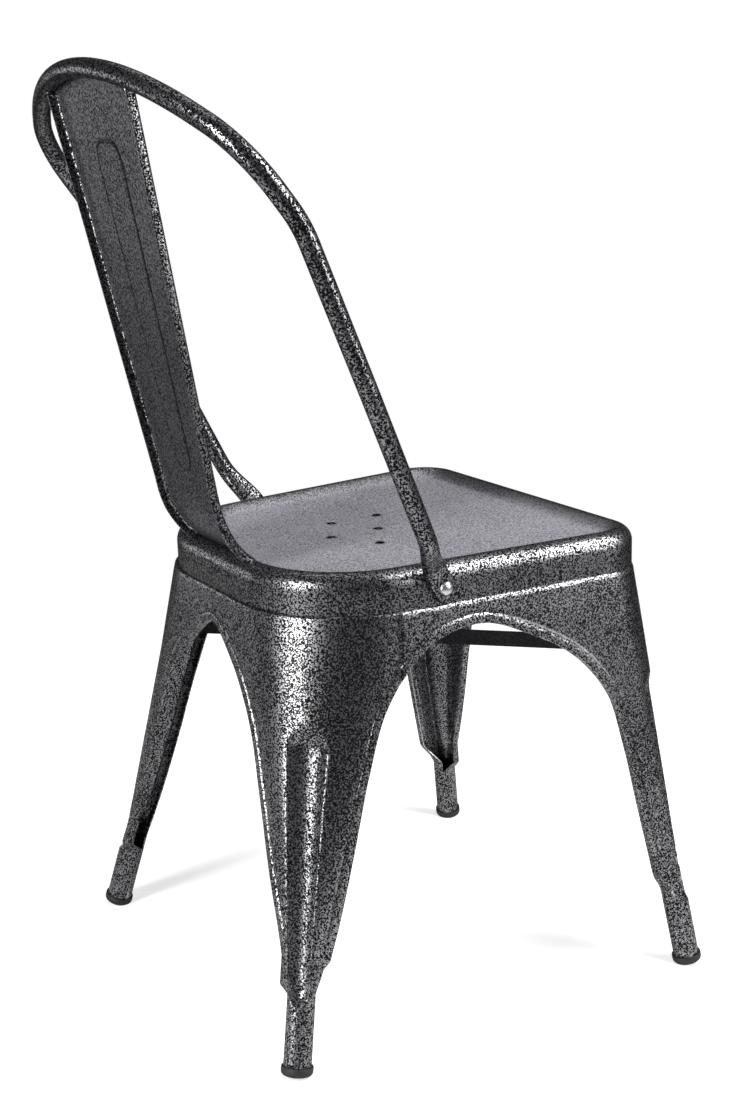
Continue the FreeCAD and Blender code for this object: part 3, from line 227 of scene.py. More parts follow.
# %% Tools for materials
def fill_inputs(made, inputs):
    # Each input gets its value, or a link from the output that feeds it.
    for name, value in inputs.items():
        if isinstance(value, bpy.types.NodeSocket):
            made.id_data.links.new(value, made.inputs[name])
        else:
            made.inputs[name].default_value = value


def node(tree, kind, place, inputs=None, **settings):
    made = tree.nodes.new(kind)
    made.location = place
    for setting, value in settings.items():
        setattr(made, setting, value)
    fill_inputs(made, inputs or {})
    return made


def new_material(name):
    # A material with its node tree and its shader.
    material = bpy.data.materials.new(name)
    material.use_nodes = True
    return material, material.node_tree, material.node_tree.nodes["Principled BSDF"]


# %% [markdown]
# The paint is the chair's most telling feature. It is a hammered finish: a silver grey with a net
# of small dark specks, drawn together as the paint dried, and a faintly dimpled surface.
# One noise pattern gives all of it. Where the noise is low the paint is a dark, dull speck, and
# where it is high it is silver and glossy. It is a node group, because every painted piece wears
# the same paint with a different grain.

# %% The hammered paint as a node group
PAINT_INPUTS = {
    "Grains per metre": 400.0, "Speck level": 0.5, "Speck softness": 0.05,
    "Silver": (0.3, 0.3, 0.31, 1), "Speck": (0.02, 0.02, 0.025, 1),
    "Painted edge highlight": 0.5, "Most metal": 0.9,
}
PAINT_OUTPUTS = ("Color", "Metallic", "Roughness", "Height")
COLOURS = ("Silver", "Speck", "Color")

# Over this range of its noise, the slow drift moves the specks' level by up to this much
NOISE_LOW = 0.3
NOISE_HIGH = 0.7
DRIFTS_PER_METRE = 14.0
MOST_DRIFT = 0.025

# Pointiness is near 0.5 on a flat face, higher on a raised edge and lower in a crease
EDGE_STARTS = 0.52
EDGE_FULL = 0.62
CREASE_ENDS = 0.49
CREASE_FULL = 0.40
CREASE_LIGHT = 0.2

SPECK_ROUGHNESS = 0.5
SILVER_ROUGHNESS = 0.3


def paint_socket(group, name, direction):
    kind = "NodeSocketColor" if name in COLOURS else "NodeSocketFloat"
    return group.interface.new_socket(name=name, in_out=direction, socket_type=kind)


def hammered_group():
    group = bpy.data.node_groups.new("Hammered paint", "ShaderNodeTree")
    for name, value in PAINT_INPUTS.items():
        paint_socket(group, name, "INPUT").default_value = value
    for name in PAINT_OUTPUTS:
        paint_socket(group, name, "OUTPUT")
    entry = node(group, "NodeGroupInput", (-1200, 0)).outputs
    place = node(group, "ShaderNodeTexCoord", (-1200, 300)).outputs["Object"]
    pointiness = node(group, "ShaderNodeNewGeometry", (-550, -350)).outputs["Pointiness"]

    # The net of specks
    grain = node(group, "ShaderNodeTexNoise", (-950, 250), {
        "Vector": place, "Scale": entry["Grains per metre"],
        "Detail": 1.3, "Roughness": 0.5, "Distortion": 0.5}).outputs["Fac"]

    # Slow drift, so that no two hands' breadths look the same
    slow = node(group, "ShaderNodeTexNoise", (-950, -50), {
        "Vector": place, "Scale": DRIFTS_PER_METRE, "Detail": 2.0}).outputs["Fac"]
    drift = node(group, "ShaderNodeMapRange", (-750, -50), {
        "Value": slow, "From Min": NOISE_LOW, "From Max": NOISE_HIGH,
        "To Min": -MOST_DRIFT, "To Max": MOST_DRIFT}).outputs["Result"]

    # Low end and high end of the step between speck and silver
    level = node(group, "ShaderNodeMath", (-550, 0), {
        0: entry["Speck level"], 1: drift}, operation="ADD").outputs[0]
    ends = {0: level, 1: entry["Speck softness"]}
    low = node(group, "ShaderNodeMath", (-350, 50), ends, operation="SUBTRACT").outputs[0]
    high = node(group, "ShaderNodeMath", (-350, -100), ends, operation="ADD").outputs[0]
    share = node(group, "ShaderNodeMapRange", (-150, 150), {
        "Value": grain, "From Min": low, "From Max": high},
        interpolation_type="SMOOTHSTEP").outputs["Result"]
    paint = node(group, "ShaderNodeMix", (100, 200), {
        "Factor": share, "A": entry["Speck"], "B": entry["Silver"]},
        data_type="RGBA").outputs["Result"]

    # Painted highlight: raised edges get extra silver added to their colour
    edge_highlight = node(group, "ShaderNodeMapRange", (-350, -350), {
        "Value": pointiness, "From Min": EDGE_STARTS, "From Max": EDGE_FULL},
        interpolation_type="SMOOTHSTEP").outputs["Result"]
    light = node(group, "ShaderNodeMath", (-150, -350), {
        0: edge_highlight, 1: entry["Painted edge highlight"]}, operation="MULTIPLY").outputs[0]
    bright = node(group, "ShaderNodeMix", (350, 200), {
        "Factor": light, "A": paint, "B": entry["Silver"]},
        data_type="RGBA", blend_type="ADD").outputs["Result"]

    # Painted shade: creases are darkened
    crease = node(group, "ShaderNodeMapRange", (350, 450), {
        "Value": pointiness, "From Min": CREASE_FULL, "From Max": CREASE_ENDS,
        "To Min": CREASE_LIGHT}, interpolation_type="SMOOTHSTEP").outputs["Result"]
    crease_shaded = node(group, "ShaderNodeMix", (600, 300), {
        "Factor": 1.0, "A": bright, "B": crease},
        data_type="RGBA", blend_type="MULTIPLY").outputs["Result"]

    # Silver is metal and glossy, and a speck is neither
    metal = node(group, "ShaderNodeMapRange", (350, -300), {
        "Value": share, "To Max": entry["Most metal"]}).outputs["Result"]
    gloss = node(group, "ShaderNodeMapRange", (350, -50), {
        "Value": share, "To Min": SPECK_ROUGHNESS, "To Max": SILVER_ROUGHNESS}).outputs["Result"]
    node(group, "NodeGroupOutput", (900, 0), {
        "Color": crease_shaded, "Metallic": metal, "Roughness": gloss, "Height": grain})
    return group


HAMMERED = hammered_group()
print("Node group", HAMMERED.name, "with", len(HAMMERED.nodes), "nodes")

# %% [markdown]
# The frame's paint is coarse and full of contrast. On the hoop it is a little coarser, and darker as
# painted shade that tones down the hoop's highlights. The seat and the splat are flatter sheets, on which
# the same paint has settled finer and calmer, with a faint violet cast, and the splat's is far darker as
# painted shade.
# The brace under the seat is painted nearly black as painted shade, with painted highlights on its edges,
# and the rivets and the beads at the splat's foot get a bright silver as a painted highlight. All are a
# metallic paint, so the silver flakes reflect and the specks between them stay dull.

# %% The paints
BUMP_STRENGTH = 0.6
BUMP_HEIGHT = 0.4
PAINT_SPECULAR = 0.05
# Near black for the painted shade in the splat's sunk line and at the drain holes
PAINTED_SHADE_COLOUR = (0.001, 0.001, 0.001, 1)


def paint_layer(tree, place, look):
    # The outputs of the node group, given the values of one look.
    inputs = {name: (*value, 1) if name in COLOURS else value for name, value in look.items()}
    return node(tree, "ShaderNodeGroup", place, inputs, node_tree=HAMMERED).outputs


def hammered_paint(name, coarse, fine=None):
    # A fine look, where there is one, takes over where the mesh says that its paint is fine.
    material, tree, shader = new_material(name)
    first = paint_layer(tree, (-1000, 200), coarse)
    coat = {key: first[key] for key in PAINT_OUTPUTS}
    if fine:
        second = paint_layer(tree, (-1000, -200), fine)
        share = node(tree, "ShaderNodeAttribute", (-1000, 500), attribute_name=FINE_LAYER)
        for row, key in enumerate(PAINT_OUTPUTS):
            kind = "RGBA" if key in COLOURS else "FLOAT"
            mixed = node(tree, "ShaderNodeMix", (-700, 400 - 200 * row), data_type=kind)
            fill_inputs(mixed, {"Factor": share.outputs["Fac"], "A": first[key], "B": second[key]})
            coat[key] = mixed.outputs["Result"]
    # Painted shade: where the mesh's shade layer is 1, the colour goes to near black
    dark = node(tree, "ShaderNodeAttribute", (-600, 600), attribute_name=SHADE_LAYER)
    shaded = node(tree, "ShaderNodeMix", (-350, 300), {
        "Factor": dark.outputs["Fac"], "A": coat["Color"], "B": PAINTED_SHADE_COLOUR}, data_type="RGBA")
    dimples = node(tree, "ShaderNodeBump", (-350, -250), {
        "Height": coat["Height"], "Strength": BUMP_STRENGTH, "Distance": BUMP_HEIGHT * MM})
    fill_inputs(shader, {
        "Base Color": shaded.outputs["Result"], "Metallic": coat["Metallic"],
        "Roughness": coat["Roughness"], "Normal": dimples.outputs["Normal"],
        "Specular IOR Level": PAINT_SPECULAR})
    return material


COARSE_LOOK = {
    "Grains per metre": 680.0, "Speck level": 0.53, "Speck softness": 0.02, "Most metal": 1.0,
    "Silver": (0.31, 0.31, 0.32), "Speck": (0.003, 0.0032, 0.004), "Painted edge highlight": 0.9,
}
# The hoop's silver is darker than the frame's: painted shade that tones down its highlights
SHADED_HOOP_LOOK = {**COARSE_LOOK, "Grains per metre": 560.0, "Silver": (0.25, 0.25, 0.26)}
SEAT_LOOK = {
    "Grains per metre": 620.0, "Speck level": 0.48, "Speck softness": 0.07, "Most metal": 0.35,
    "Silver": (0.43, 0.42, 0.465), "Speck": (0.115, 0.111, 0.127), "Painted edge highlight": 0.2,
}
# The splat's silver is far darker than the seat's: painted shade on the leaning splat
SHADED_SPLAT_LOOK = {
    "Grains per metre": 620.0, "Speck level": 0.50, "Speck softness": 0.05, "Most metal": 0.5,
    "Silver": (0.082, 0.082, 0.089), "Speck": (0.006, 0.006, 0.008), "Painted edge highlight": 0.4,
}
# The brace's near black is painted shade under the seat, and its strong edge light is a painted highlight
SHADED_BRACE_LOOK = {
    "Grains per metre": 520.0, "Speck level": 0.52, "Speck softness": 0.03, "Most metal": 0.6,
    "Silver": (0.02, 0.02, 0.022), "Speck": (0.005, 0.005, 0.006), "Painted edge highlight": 2.0,
}
# The rivets' bright silver is a painted highlight, worn also by the beads at the splat's foot
LIT_RIVET_LOOK = {
    "Grains per metre": 540.0, "Speck level": 0.40, "Speck softness": 0.06, "Most metal": 1.0,
    "Silver": (0.62, 0.62, 0.63), "Speck": (0.02, 0.02, 0.022), "Painted edge highlight": 0.4,
}
FRAME_PAINT = hammered_paint("Hammered frame paint", COARSE_LOOK)
HOOP_PAINT = hammered_paint("Hammered hoop paint", SHADED_HOOP_LOOK)
SEAT_PAINT = hammered_paint("Hammered seat paint", COARSE_LOOK, SEAT_LOOK)
SPLAT_PAINT = hammered_paint("Hammered splat paint", COARSE_LOOK, SHADED_SPLAT_LOOK)
SHADED_BRACE_PAINT = hammered_paint("Brace paint with painted shade", SHADED_BRACE_LOOK)
LIT_RIVET_PAINT = hammered_paint("Rivet paint with painted highlight", LIT_RIVET_LOOK)
print("Materials:", [material.name for material in bpy.data.materials])

# %% [markdown]
# The foot caps are moulded rubber: nearly black, dull, with the fine unevenness of a mould and a
# little dust that makes some patches duller than others. One fine noise gives all three.

# %% Black rubber for the foot caps
RUBBER, rubber_tree, rubber_shader = new_material("Black cap rubber")
rubber_place = node(rubber_tree, "ShaderNodeTexCoord", (-900, 100)).outputs["Object"]
rubber_noise = node(rubber_tree, "ShaderNodeTexNoise", (-700, 100), {
    "Vector": rubber_place, "Scale": 260.0, "Detail": 4.0}).outputs["Fac"]
rubber_colour = node(rubber_tree, "ShaderNodeMix", (-400, 200), {
    "Factor": rubber_noise, "A": (0.002, 0.002, 0.0022, 1), "B": (0.009, 0.009, 0.01, 1)},
    data_type="RGBA")
rubber_dull = node(rubber_tree, "ShaderNodeMapRange", (-400, -50), {
    "Value": rubber_noise, "To Min": 0.45, "To Max": 0.75})
rubber_bump = node(rubber_tree, "ShaderNodeBump", (-400, -300), {
    "Height": rubber_noise, "Strength": 0.35, "Distance": 0.15 * MM})
fill_inputs(rubber_shader, {
    "Base Color": rubber_colour.outputs["Result"], "Roughness": rubber_dull.outputs["Result"],
    "Normal": rubber_bump.outputs["Normal"]})
print("Rubber:", RUBBER.name)

# %% [markdown]
# The four legs are two pressed sheets that meet under the seat's skirt, cut here into a front and a
# rear panel on each side. Seen from above, the sheet follows a rounded trapezoid that widens
# towards the floor, with large soft corners at the top and tight ones at the feet.
# These are the same sizes as the CAD model's.

# %% The outline that the legs follow
SKIRT_LEVEL = 400.0
BULGE_LEVEL = 300.0
FOOT_LEVEL = 85.0
SEAT_HEIGHT = 433.1
SEAT_BACK = 1.0
SEAT_SLOPE = math.radians(2.75)
SHEET = 1.2
LAYER = 1.5

# Each of these gives a value at the skirt and one at the foot
SIDE_HALF = (173.8, 201.3)
SIDE_TAPER = (0.0844, 0.0542)
REAR_FACE = (185.6, 204.9)
FRONT_FACE = (182.5, 224.0)
FRONT_ROUND = (47.0, 12.5)

# The rear corner's radius at the skirt, at the bulge and at the foot
REAR_ROUND = (113.0, 88.0, 16.5)


def at_level(height, top_and_foot):
    share = (SKIRT_LEVEL - height) / (SKIRT_LEVEL - FOOT_LEVEL)
    return blend(*top_and_foot, share)


def corner_round(rear, height):
    height = min(height, SKIRT_LEVEL)
    if not rear:
        return at_level(height, FRONT_ROUND)
    top, bulge, foot = REAR_ROUND
    if height >= BULGE_LEVEL:
        return blend(bulge, top, (height - BULGE_LEVEL) / (SKIRT_LEVEL - BULGE_LEVEL))
    return blend(foot, bulge, (height - FOOT_LEVEL) / (BULGE_LEVEL - FOOT_LEVEL))


def corner_at(rear, height):
    # Centre, radius and side angle of a corner. In these functions y always points from the
    # chair's middle towards the leg, so a front leg is worked out as if it stood at the rear.
    half = at_level(height, SIDE_HALF)
    taper = at_level(height, SIDE_TAPER) * (1 if rear else -1)
    end = at_level(height, REAR_FACE if rear else FRONT_FACE)
    radius = corner_round(rear, height)
    side = math.atan(taper)
    depth = end - radius
    across = (half * math.cos(side) - radius - math.sin(side) * depth) / math.cos(side)
    return across, depth, radius, side


def corner_middle(side):
    # The angle at which the middle of a corner lies.
    return (side + QUARTER) / 2


def along_from_x(rear, x, height):
    # Distance along the sheet from the corner's middle to a spot on the end wall.
    across, _, radius, side = corner_at(rear, height)
    middle = corner_middle(side)
    if x >= across:
        return (math.acos(min((x - across) / radius, 1.0)) - middle) * radius
    return (QUARTER - middle) * radius + across - x


def along_from_y(rear, y, height):
    # The same to a spot on the side wall, where the distance counts as negative.
    _, depth, radius, side = corner_at(rear, height)
    start = depth + radius * math.sin(side)
    if y >= start:
        return (math.asin(min((y - depth) / radius, 1.0)) - corner_middle(side)) * radius
    return (side - corner_middle(side)) * radius - (start - y) / math.cos(side)


def level_share(rear, share):
    # Rows leave an arch's crown level. A front leg has a crown at both its ends.
    if rear:
        return 1 - (1 - share) ** 2
    return smooth_step(share, 0.0, 1.0)


def on_outline(rear, along, height):
    # The place and the outward direction of a spot on the outline.
    across, depth, radius, side = corner_at(rear, height)
    middle = corner_middle(side)
    reach = (QUARTER - middle) * radius
    angle = min(max(middle + along / radius, side), QUARTER)
    outward = Vector((math.cos(angle), math.sin(angle), 0))
    spot = Vector((across, depth, height)) + outward * radius
    if along > reach:
        spot.x -= along - reach
    if along < -reach:
        spot += Vector((math.sin(side), -math.cos(side), 0)) * (-along - reach)
    return spot, outward


print("Corner at the skirt, rear:", [round(value, 1) for value in corner_at(True, SKIRT_LEVEL)])

# %% [markdown]
# Curves come before the arches. A smooth curve through a few points is easy to read off the
# photograph, and moving it outwards gives the fold and the band that run beside an arch's edge.

# %% Tools for curves
CURVE_STEPS = 20


def distances_along(points):
    # How far along a line each of its points lies.
    walked = [0.0]
    for first, second in zip(points, points[1:]):
        walked.append(walked[-1] + (second - first).length)
    return walked


def eased(first, first_run, second, second_run, t):
    # A spot on a cubic curve that leaves first along one run and reaches second along another.
    return (
        first * (2 * t ** 3 - 3 * t ** 2 + 1) + first_run * (t ** 3 - 2 * t ** 2 + t)
        + second * (3 * t ** 2 - 2 * t ** 3) + second_run * (t ** 3 - t ** 2))


def smooth_curve(points):
    # A smooth curve through points, by cubic pieces with slopes from the neighbouring chords.
    chords = [(second - first).length for first, second in zip(points, points[1:])]
    slopes = [(second - first) / chord for first, second, chord in zip(points, points[1:], chords)]
    tangents = [slopes[0]]
    for index in range(1, len(points) - 1):
        before, after = chords[index - 1], chords[index]
        mixed = slopes[index - 1] * after + slopes[index] * before
        tangents.append(mixed / (before + after))
    tangents.append(slopes[-1])
    curve = []
    for index, chord in enumerate(chords):
        first_run = tangents[index] * chord
        second_run = tangents[index + 1] * chord
        for step in range(CURVE_STEPS):
            t = step / CURVE_STEPS
            curve.append(eased(points[index], first_run, points[index + 1], second_run, t))
    curve.append(points[-1].copy())
    return curve


def moved_out(curve, reach):
    # The curve at a distance outside the arch.
    moved = []
    for index, point in enumerate(curve):
        ahead = curve[min(index + 1, len(curve) - 1)]
        behind = curve[max(index - 1, 0)]
        run = (ahead - behind).normalized()
        moved.append(point + Vector((run.y, -run.x)) * reach)
    return moved


def cut_curve(curve, past_start, end_across):
    # The part of a curve from where past_start(point) stops being negative to where the curve
    # comes down to a distance across.
    kept = []
    for first, second in zip(curve, curve[1:]):
        before, after = past_start(first), past_start(second)
        if before < 0 <= after and not kept:
            kept.append(first.lerp(second, before / (before - after)))
        if kept:
            if second.x <= end_across:
                kept.append(first.lerp(second, (first.x - end_across) / (first.x - second.x)))
                return kept
            kept.append(second)
    return kept


def evenly(curve, count):
    # count + 1 points at equal steps along a curve.
    walked = distances_along(curve)
    result = []
    piece = 0
    for step in range(count + 1):
        target = walked[-1] * step / count
        while piece < len(curve) - 2 and walked[piece + 1] < target:
            piece += 1
        span = max(walked[piece + 1] - walked[piece], MM)
        result.append(curve[piece].lerp(curve[piece + 1], min((target - walked[piece]) / span, 1.0)))
    return result


# %% [markdown]
# Between the legs are tall arches. Each is a smooth curve through a few points, read from the
# photograph as parts of the arch's half-width and of its height. The side arch is wider towards
# the front leg than towards the rear one.

# %% The arches
ARCH_FOOT = 88.0
REAR_CROWN = 357.0
FRONT_CROWN = 372.0
SIDE_CROWN = 374.0
SIDE_MIDDLE = 6.0
COLLAR_TOP = 100.0

# Half an arch is its half-width and its points
REAR_ARCH = (166.0, (
    (1.0, 0.0), (0.935, 0.10), (0.807, 0.265), (0.657, 0.50), (0.488, 0.74), (0.259, 0.905)))
FRONT_ARCH = (189.5, (
    (1.0, 0.0), (0.958, 0.07), (0.832, 0.31), (0.747, 0.50), (0.60, 0.76), (0.33, 0.93)))
SIDE_REAR = (165.0, (
    (1.0, 0.0), (0.939, 0.10), (0.815, 0.34), (0.703, 0.58), (0.576, 0.78), (0.285, 0.963)))
SIDE_FRONT = (193.0, (
    (1.0, 0.0), (0.878, 0.31), (0.798, 0.52), (0.705, 0.70), (0.575, 0.81), (0.249, 0.945)))


def arch_curve(crown, middle, near, far):
    # From the foot beside the leg over the crown to the far foot, as (distance, height).
    rise = crown - ARCH_FOOT
    near_half, near_points = near
    far_half, far_points = far
    points = [Vector((middle + near_half * across, ARCH_FOOT + rise * up)) for across, up in near_points]
    points.append(Vector((middle, crown)))
    for across, up in reversed(far_points):
        points.append(Vector((middle - far_half * across, ARCH_FOOT + rise * up)))
    return smooth_curve(points)


def end_arch(rear):
    if rear:
        return arch_curve(REAR_CROWN, 0.0, REAR_ARCH, REAR_ARCH)
    return arch_curve(FRONT_CROWN, 0.0, FRONT_ARCH, FRONT_ARCH)


def side_arch(rear):
    if rear:
        return arch_curve(SIDE_CROWN, SIDE_MIDDLE, SIDE_REAR, SIDE_FRONT)
    return arch_curve(SIDE_CROWN, -SIDE_MIDDLE, SIDE_FRONT, SIDE_REAR)


rear_arch = end_arch(True)
print("Rear arch from", rear_arch[0][:], "up to", max(point.y for point in rear_arch), "mm")

# %% [markdown]
# A flute is pressed into each corner. It is the mark of a round-ended, tapering stamp, so its
# depth at a spot is how far a line from the spot into the sheet stays inside that stamp.
# Its two ridges are softened, as the paint and the press leave them. Under the flute the sheet
# is rolled into a tube, which leans outwards to the foot.

# %% The flutes
FLUTE_TOP = 278.0
FLUTE_BOTTOM = 92.0
FLUTE_FOOT = 79.0
FLUTE_HALF = (18.8, 10.3)
FLUTE_SINK = (7.0, 4.0)
FRONT_FLUTE_SHARE = 0.85
FOOT_CURVE = 14.0
RIDGE_SOFTNESS = 1.3

# Where a foot tube's axis meets the floor, and how far it leans inwards for each unit of height,
# at the rear and at the front
TUBE_AXIS = {
    True: ((196.0, 0.207), (206.0, 0.187)),
    False: ((211.4, 0.131), (228.3, 0.195)),
}


def tube_spot(rear, height):
    (x, lean_x), (y, lean_y) = TUBE_AXIS[rear]
    return Vector((x - lean_x * height, y - lean_y * height, height))


def tube_run(rear):
    return (tube_spot(rear, 1.0) - tube_spot(rear, 0.0)).normalized()


def stamp_at(rear, height, half, sink, inset):
    # Height, centre and radius of the round stamp at one height.
    across, depth, radius, side = corner_at(rear, max(height, FOOT_LEVEL))
    radius -= inset
    if height < FOOT_LEVEL:
        across, depth, _ = tube_spot(rear, height)
        radius = FOOT_CURVE
    middle = corner_middle(side)
    chord = math.sqrt(max(radius ** 2 - half ** 2, 0.0))
    stamp = (half ** 2 + sink ** 2) / (2 * sink)
    reach = chord + stamp - sink
    centre = Vector((across + math.cos(middle) * reach, depth + math.sin(middle) * reach, 0))
    return height, centre, stamp


def flute_stamps(rear, inset):
    foot_half = FLUTE_HALF[1] * (1 if rear else FRONT_FLUTE_SHARE)
    return [
        stamp_at(rear, FLUTE_TOP, FLUTE_HALF[0], FLUTE_SINK[0], inset),
        stamp_at(rear, FLUTE_BOTTOM, foot_half, FLUTE_SINK[1], inset),
        stamp_at(rear, FLUTE_FOOT, foot_half, FLUTE_SINK[1], inset)]


def flute_depth(stamps, spot, outward):
    high, low = stamps[:2] if spot.z > FLUTE_BOTTOM else stamps[1:]
    share = min(max((spot.z - low[0]) / (high[0] - low[0]), 0.0), 1.0)
    radius = blend(low[2], high[2], share)
    past = max(spot.z - FLUTE_TOP, FLUTE_FOOT - spot.z, 0.0)
    if past >= radius:
        return 0.0
    reach = math.sqrt(radius ** 2 - past ** 2)
    away = Vector((spot.x, spot.y, 0)) - low[1].lerp(high[1], share)
    if away.length < reach:
        facing = away.dot(outward)
        cut = facing + math.sqrt(facing ** 2 - away.length_squared + reach ** 2)
    else:
        cut = reach - away.length
    return (cut + math.sqrt(cut ** 2 + RIDGE_SOFTNESS ** 2)) / 2


print("Flute stamp radius at its top:", round(flute_stamps(True, LAYER)[0][2], 1))

# %% [markdown]
# The edge of the sheet is folded in along the whole arch, and a band beside the fold stands a
# little proud of the panel, behind a fine pressed crease. A leg starts as one flat grid, whose
# outer columns are those of the fold and the band, at the same distances from the edge all along,
# so that both stay clean. They crowd together where the band ends.

# %% The fold and the band along an arch
LIP = 8.0
FOLD = 1.6
FOLD_STEPS = 4
BAND_WIDTH = 9.0
BAND_PROUD = 0.6
BAND_EDGE = 0.8
CREASE_DEPTH = 0.9
CREASE_PLACE = 0.2
CREASE_FLAT = 0.2
CREASE_HALF = 1.4

# Each column has a distance from the arch's edge and a depth behind the sheet's face
EDGE_COLUMNS = [(0.0, LIP), (0.0, 5.5), (0.0, 3.2), *quarter_round(FOLD, FOLD_STEPS)]
FOLD_END = len(EDGE_COLUMNS) - 1
EDGE_COLUMNS += [(reach, 0.0) for reach in (3.2, 5.5, 7.6, 8.3, 8.9, 9.5, 10.2, 11.6, 13.2, 15.0, 17.0)]
EDGES = len(EDGE_COLUMNS)
WELL_INSIDE = 3 * LIP


def band_step(reach):
    # How far the panel lies under the band along the arch, with a pressed crease between them.
    crease = 1 - smooth_step(abs(reach - BAND_WIDTH - CREASE_PLACE), CREASE_FLAT, CREASE_HALF)
    step = smooth_step(reach, BAND_WIDTH - BAND_EDGE, BAND_WIDTH + BAND_EDGE)
    return BAND_PROUD * step + CREASE_DEPTH * crease


def edge_runs(curve, past_start, end_across, count):
    # The points of each edge column, cut out of the arch as cut_curve says and evenly spaced.
    return [
        evenly(cut_curve(moved_out(curve, reach), past_start, end_across), count)
        for reach, _ in EDGE_COLUMNS]


print("Columns of an arch's edge:", EDGES, "of which", FOLD_END, "go round the fold")

# %% [markdown]
# The grid's columns run from the turned-in edge at the side arch, round the fold, over the band
# and the panel, and back to the turned-in edge at the front or rear arch. Its rows run up the foot
# tube, through the collar where the channel closes into that tube, and then along both arches at
# once. The last rows reach the skirt, where the panel's top edge rolls in.

# %% Columns and rows of a leg
PANEL_COLUMNS = 58
LEG_COLUMNS = 2 * EDGES + PANEL_COLUMNS - 2
TUBE_ROWS = 4
COLLAR_ROWS = 24
ARCH_ROWS = 112
TOP_ROWS = 14
FIRST_ARCH_ROW = TUBE_ROWS + COLLAR_ROWS
LAST_ARCH_ROW = FIRST_ARCH_ROW + ARCH_ROWS
LEG_ROWS = LAST_ARCH_ROW + TOP_ROWS

# Panels meet at the chair's middle. At the side the front panel laps over the rear one as far as
# the seam, and the rear one ends a little further on, under the lap
CENTRE_GAP = 0.15
SEAM = 90.0
LAP_EDGE = 84.0

PANEL_DROP = 35.8
TOP_TUCK = {True: 0.3, False: 1.1}
TUCK_REACH = 4.0
TOP_ROLL = 1.8


def panel_top(rear, spot):
    # Height of the plane that ends the panels, under the seat's edge.
    y = spot.y if rear else -spot.y
    return SEAT_HEIGHT - PANEL_DROP - (y - SEAT_BACK) * math.tan(SEAT_SLOPE)


def edge_roll(below_top, rear):
    # The top edge of a panel rolls in towards the seat's skirt.
    roll = TOP_ROLL - math.sqrt(TOP_ROLL ** 2 - min(max(TOP_ROLL - below_top, 0.0), TOP_ROLL) ** 2)
    return roll + TOP_TUCK[rear] * smooth_step(-below_top, -TUCK_REACH, 0.0)


print("Leg grid:", LEG_COLUMNS, "columns by", LEG_ROWS, "rows")

# %% [markdown]
# One function says where the press puts each point of a leg's grid. The corner of the sheet is
# round at every height, so a spot is given by how far along the sheet it lies and how high, and
# the fold, the band and the flute then push it inwards.

# %% The shape of a leg
COLLAR_FOOT = 76.0
COLLAR_LOW = 52.0
COLLAR_SAG = 24.0
SAG_STARTS = -24.0
SAG_FULL = -12.0
BAND_STARTS = COLLAR_TOP - 5
BAND_FULL = COLLAR_TOP + 40
TUBE_RADIUS = 12.5
CAP_RISE = 1.4
CAP_FLOOR = 3.6


def past_collar(point):
    return point.y - COLLAR_TOP


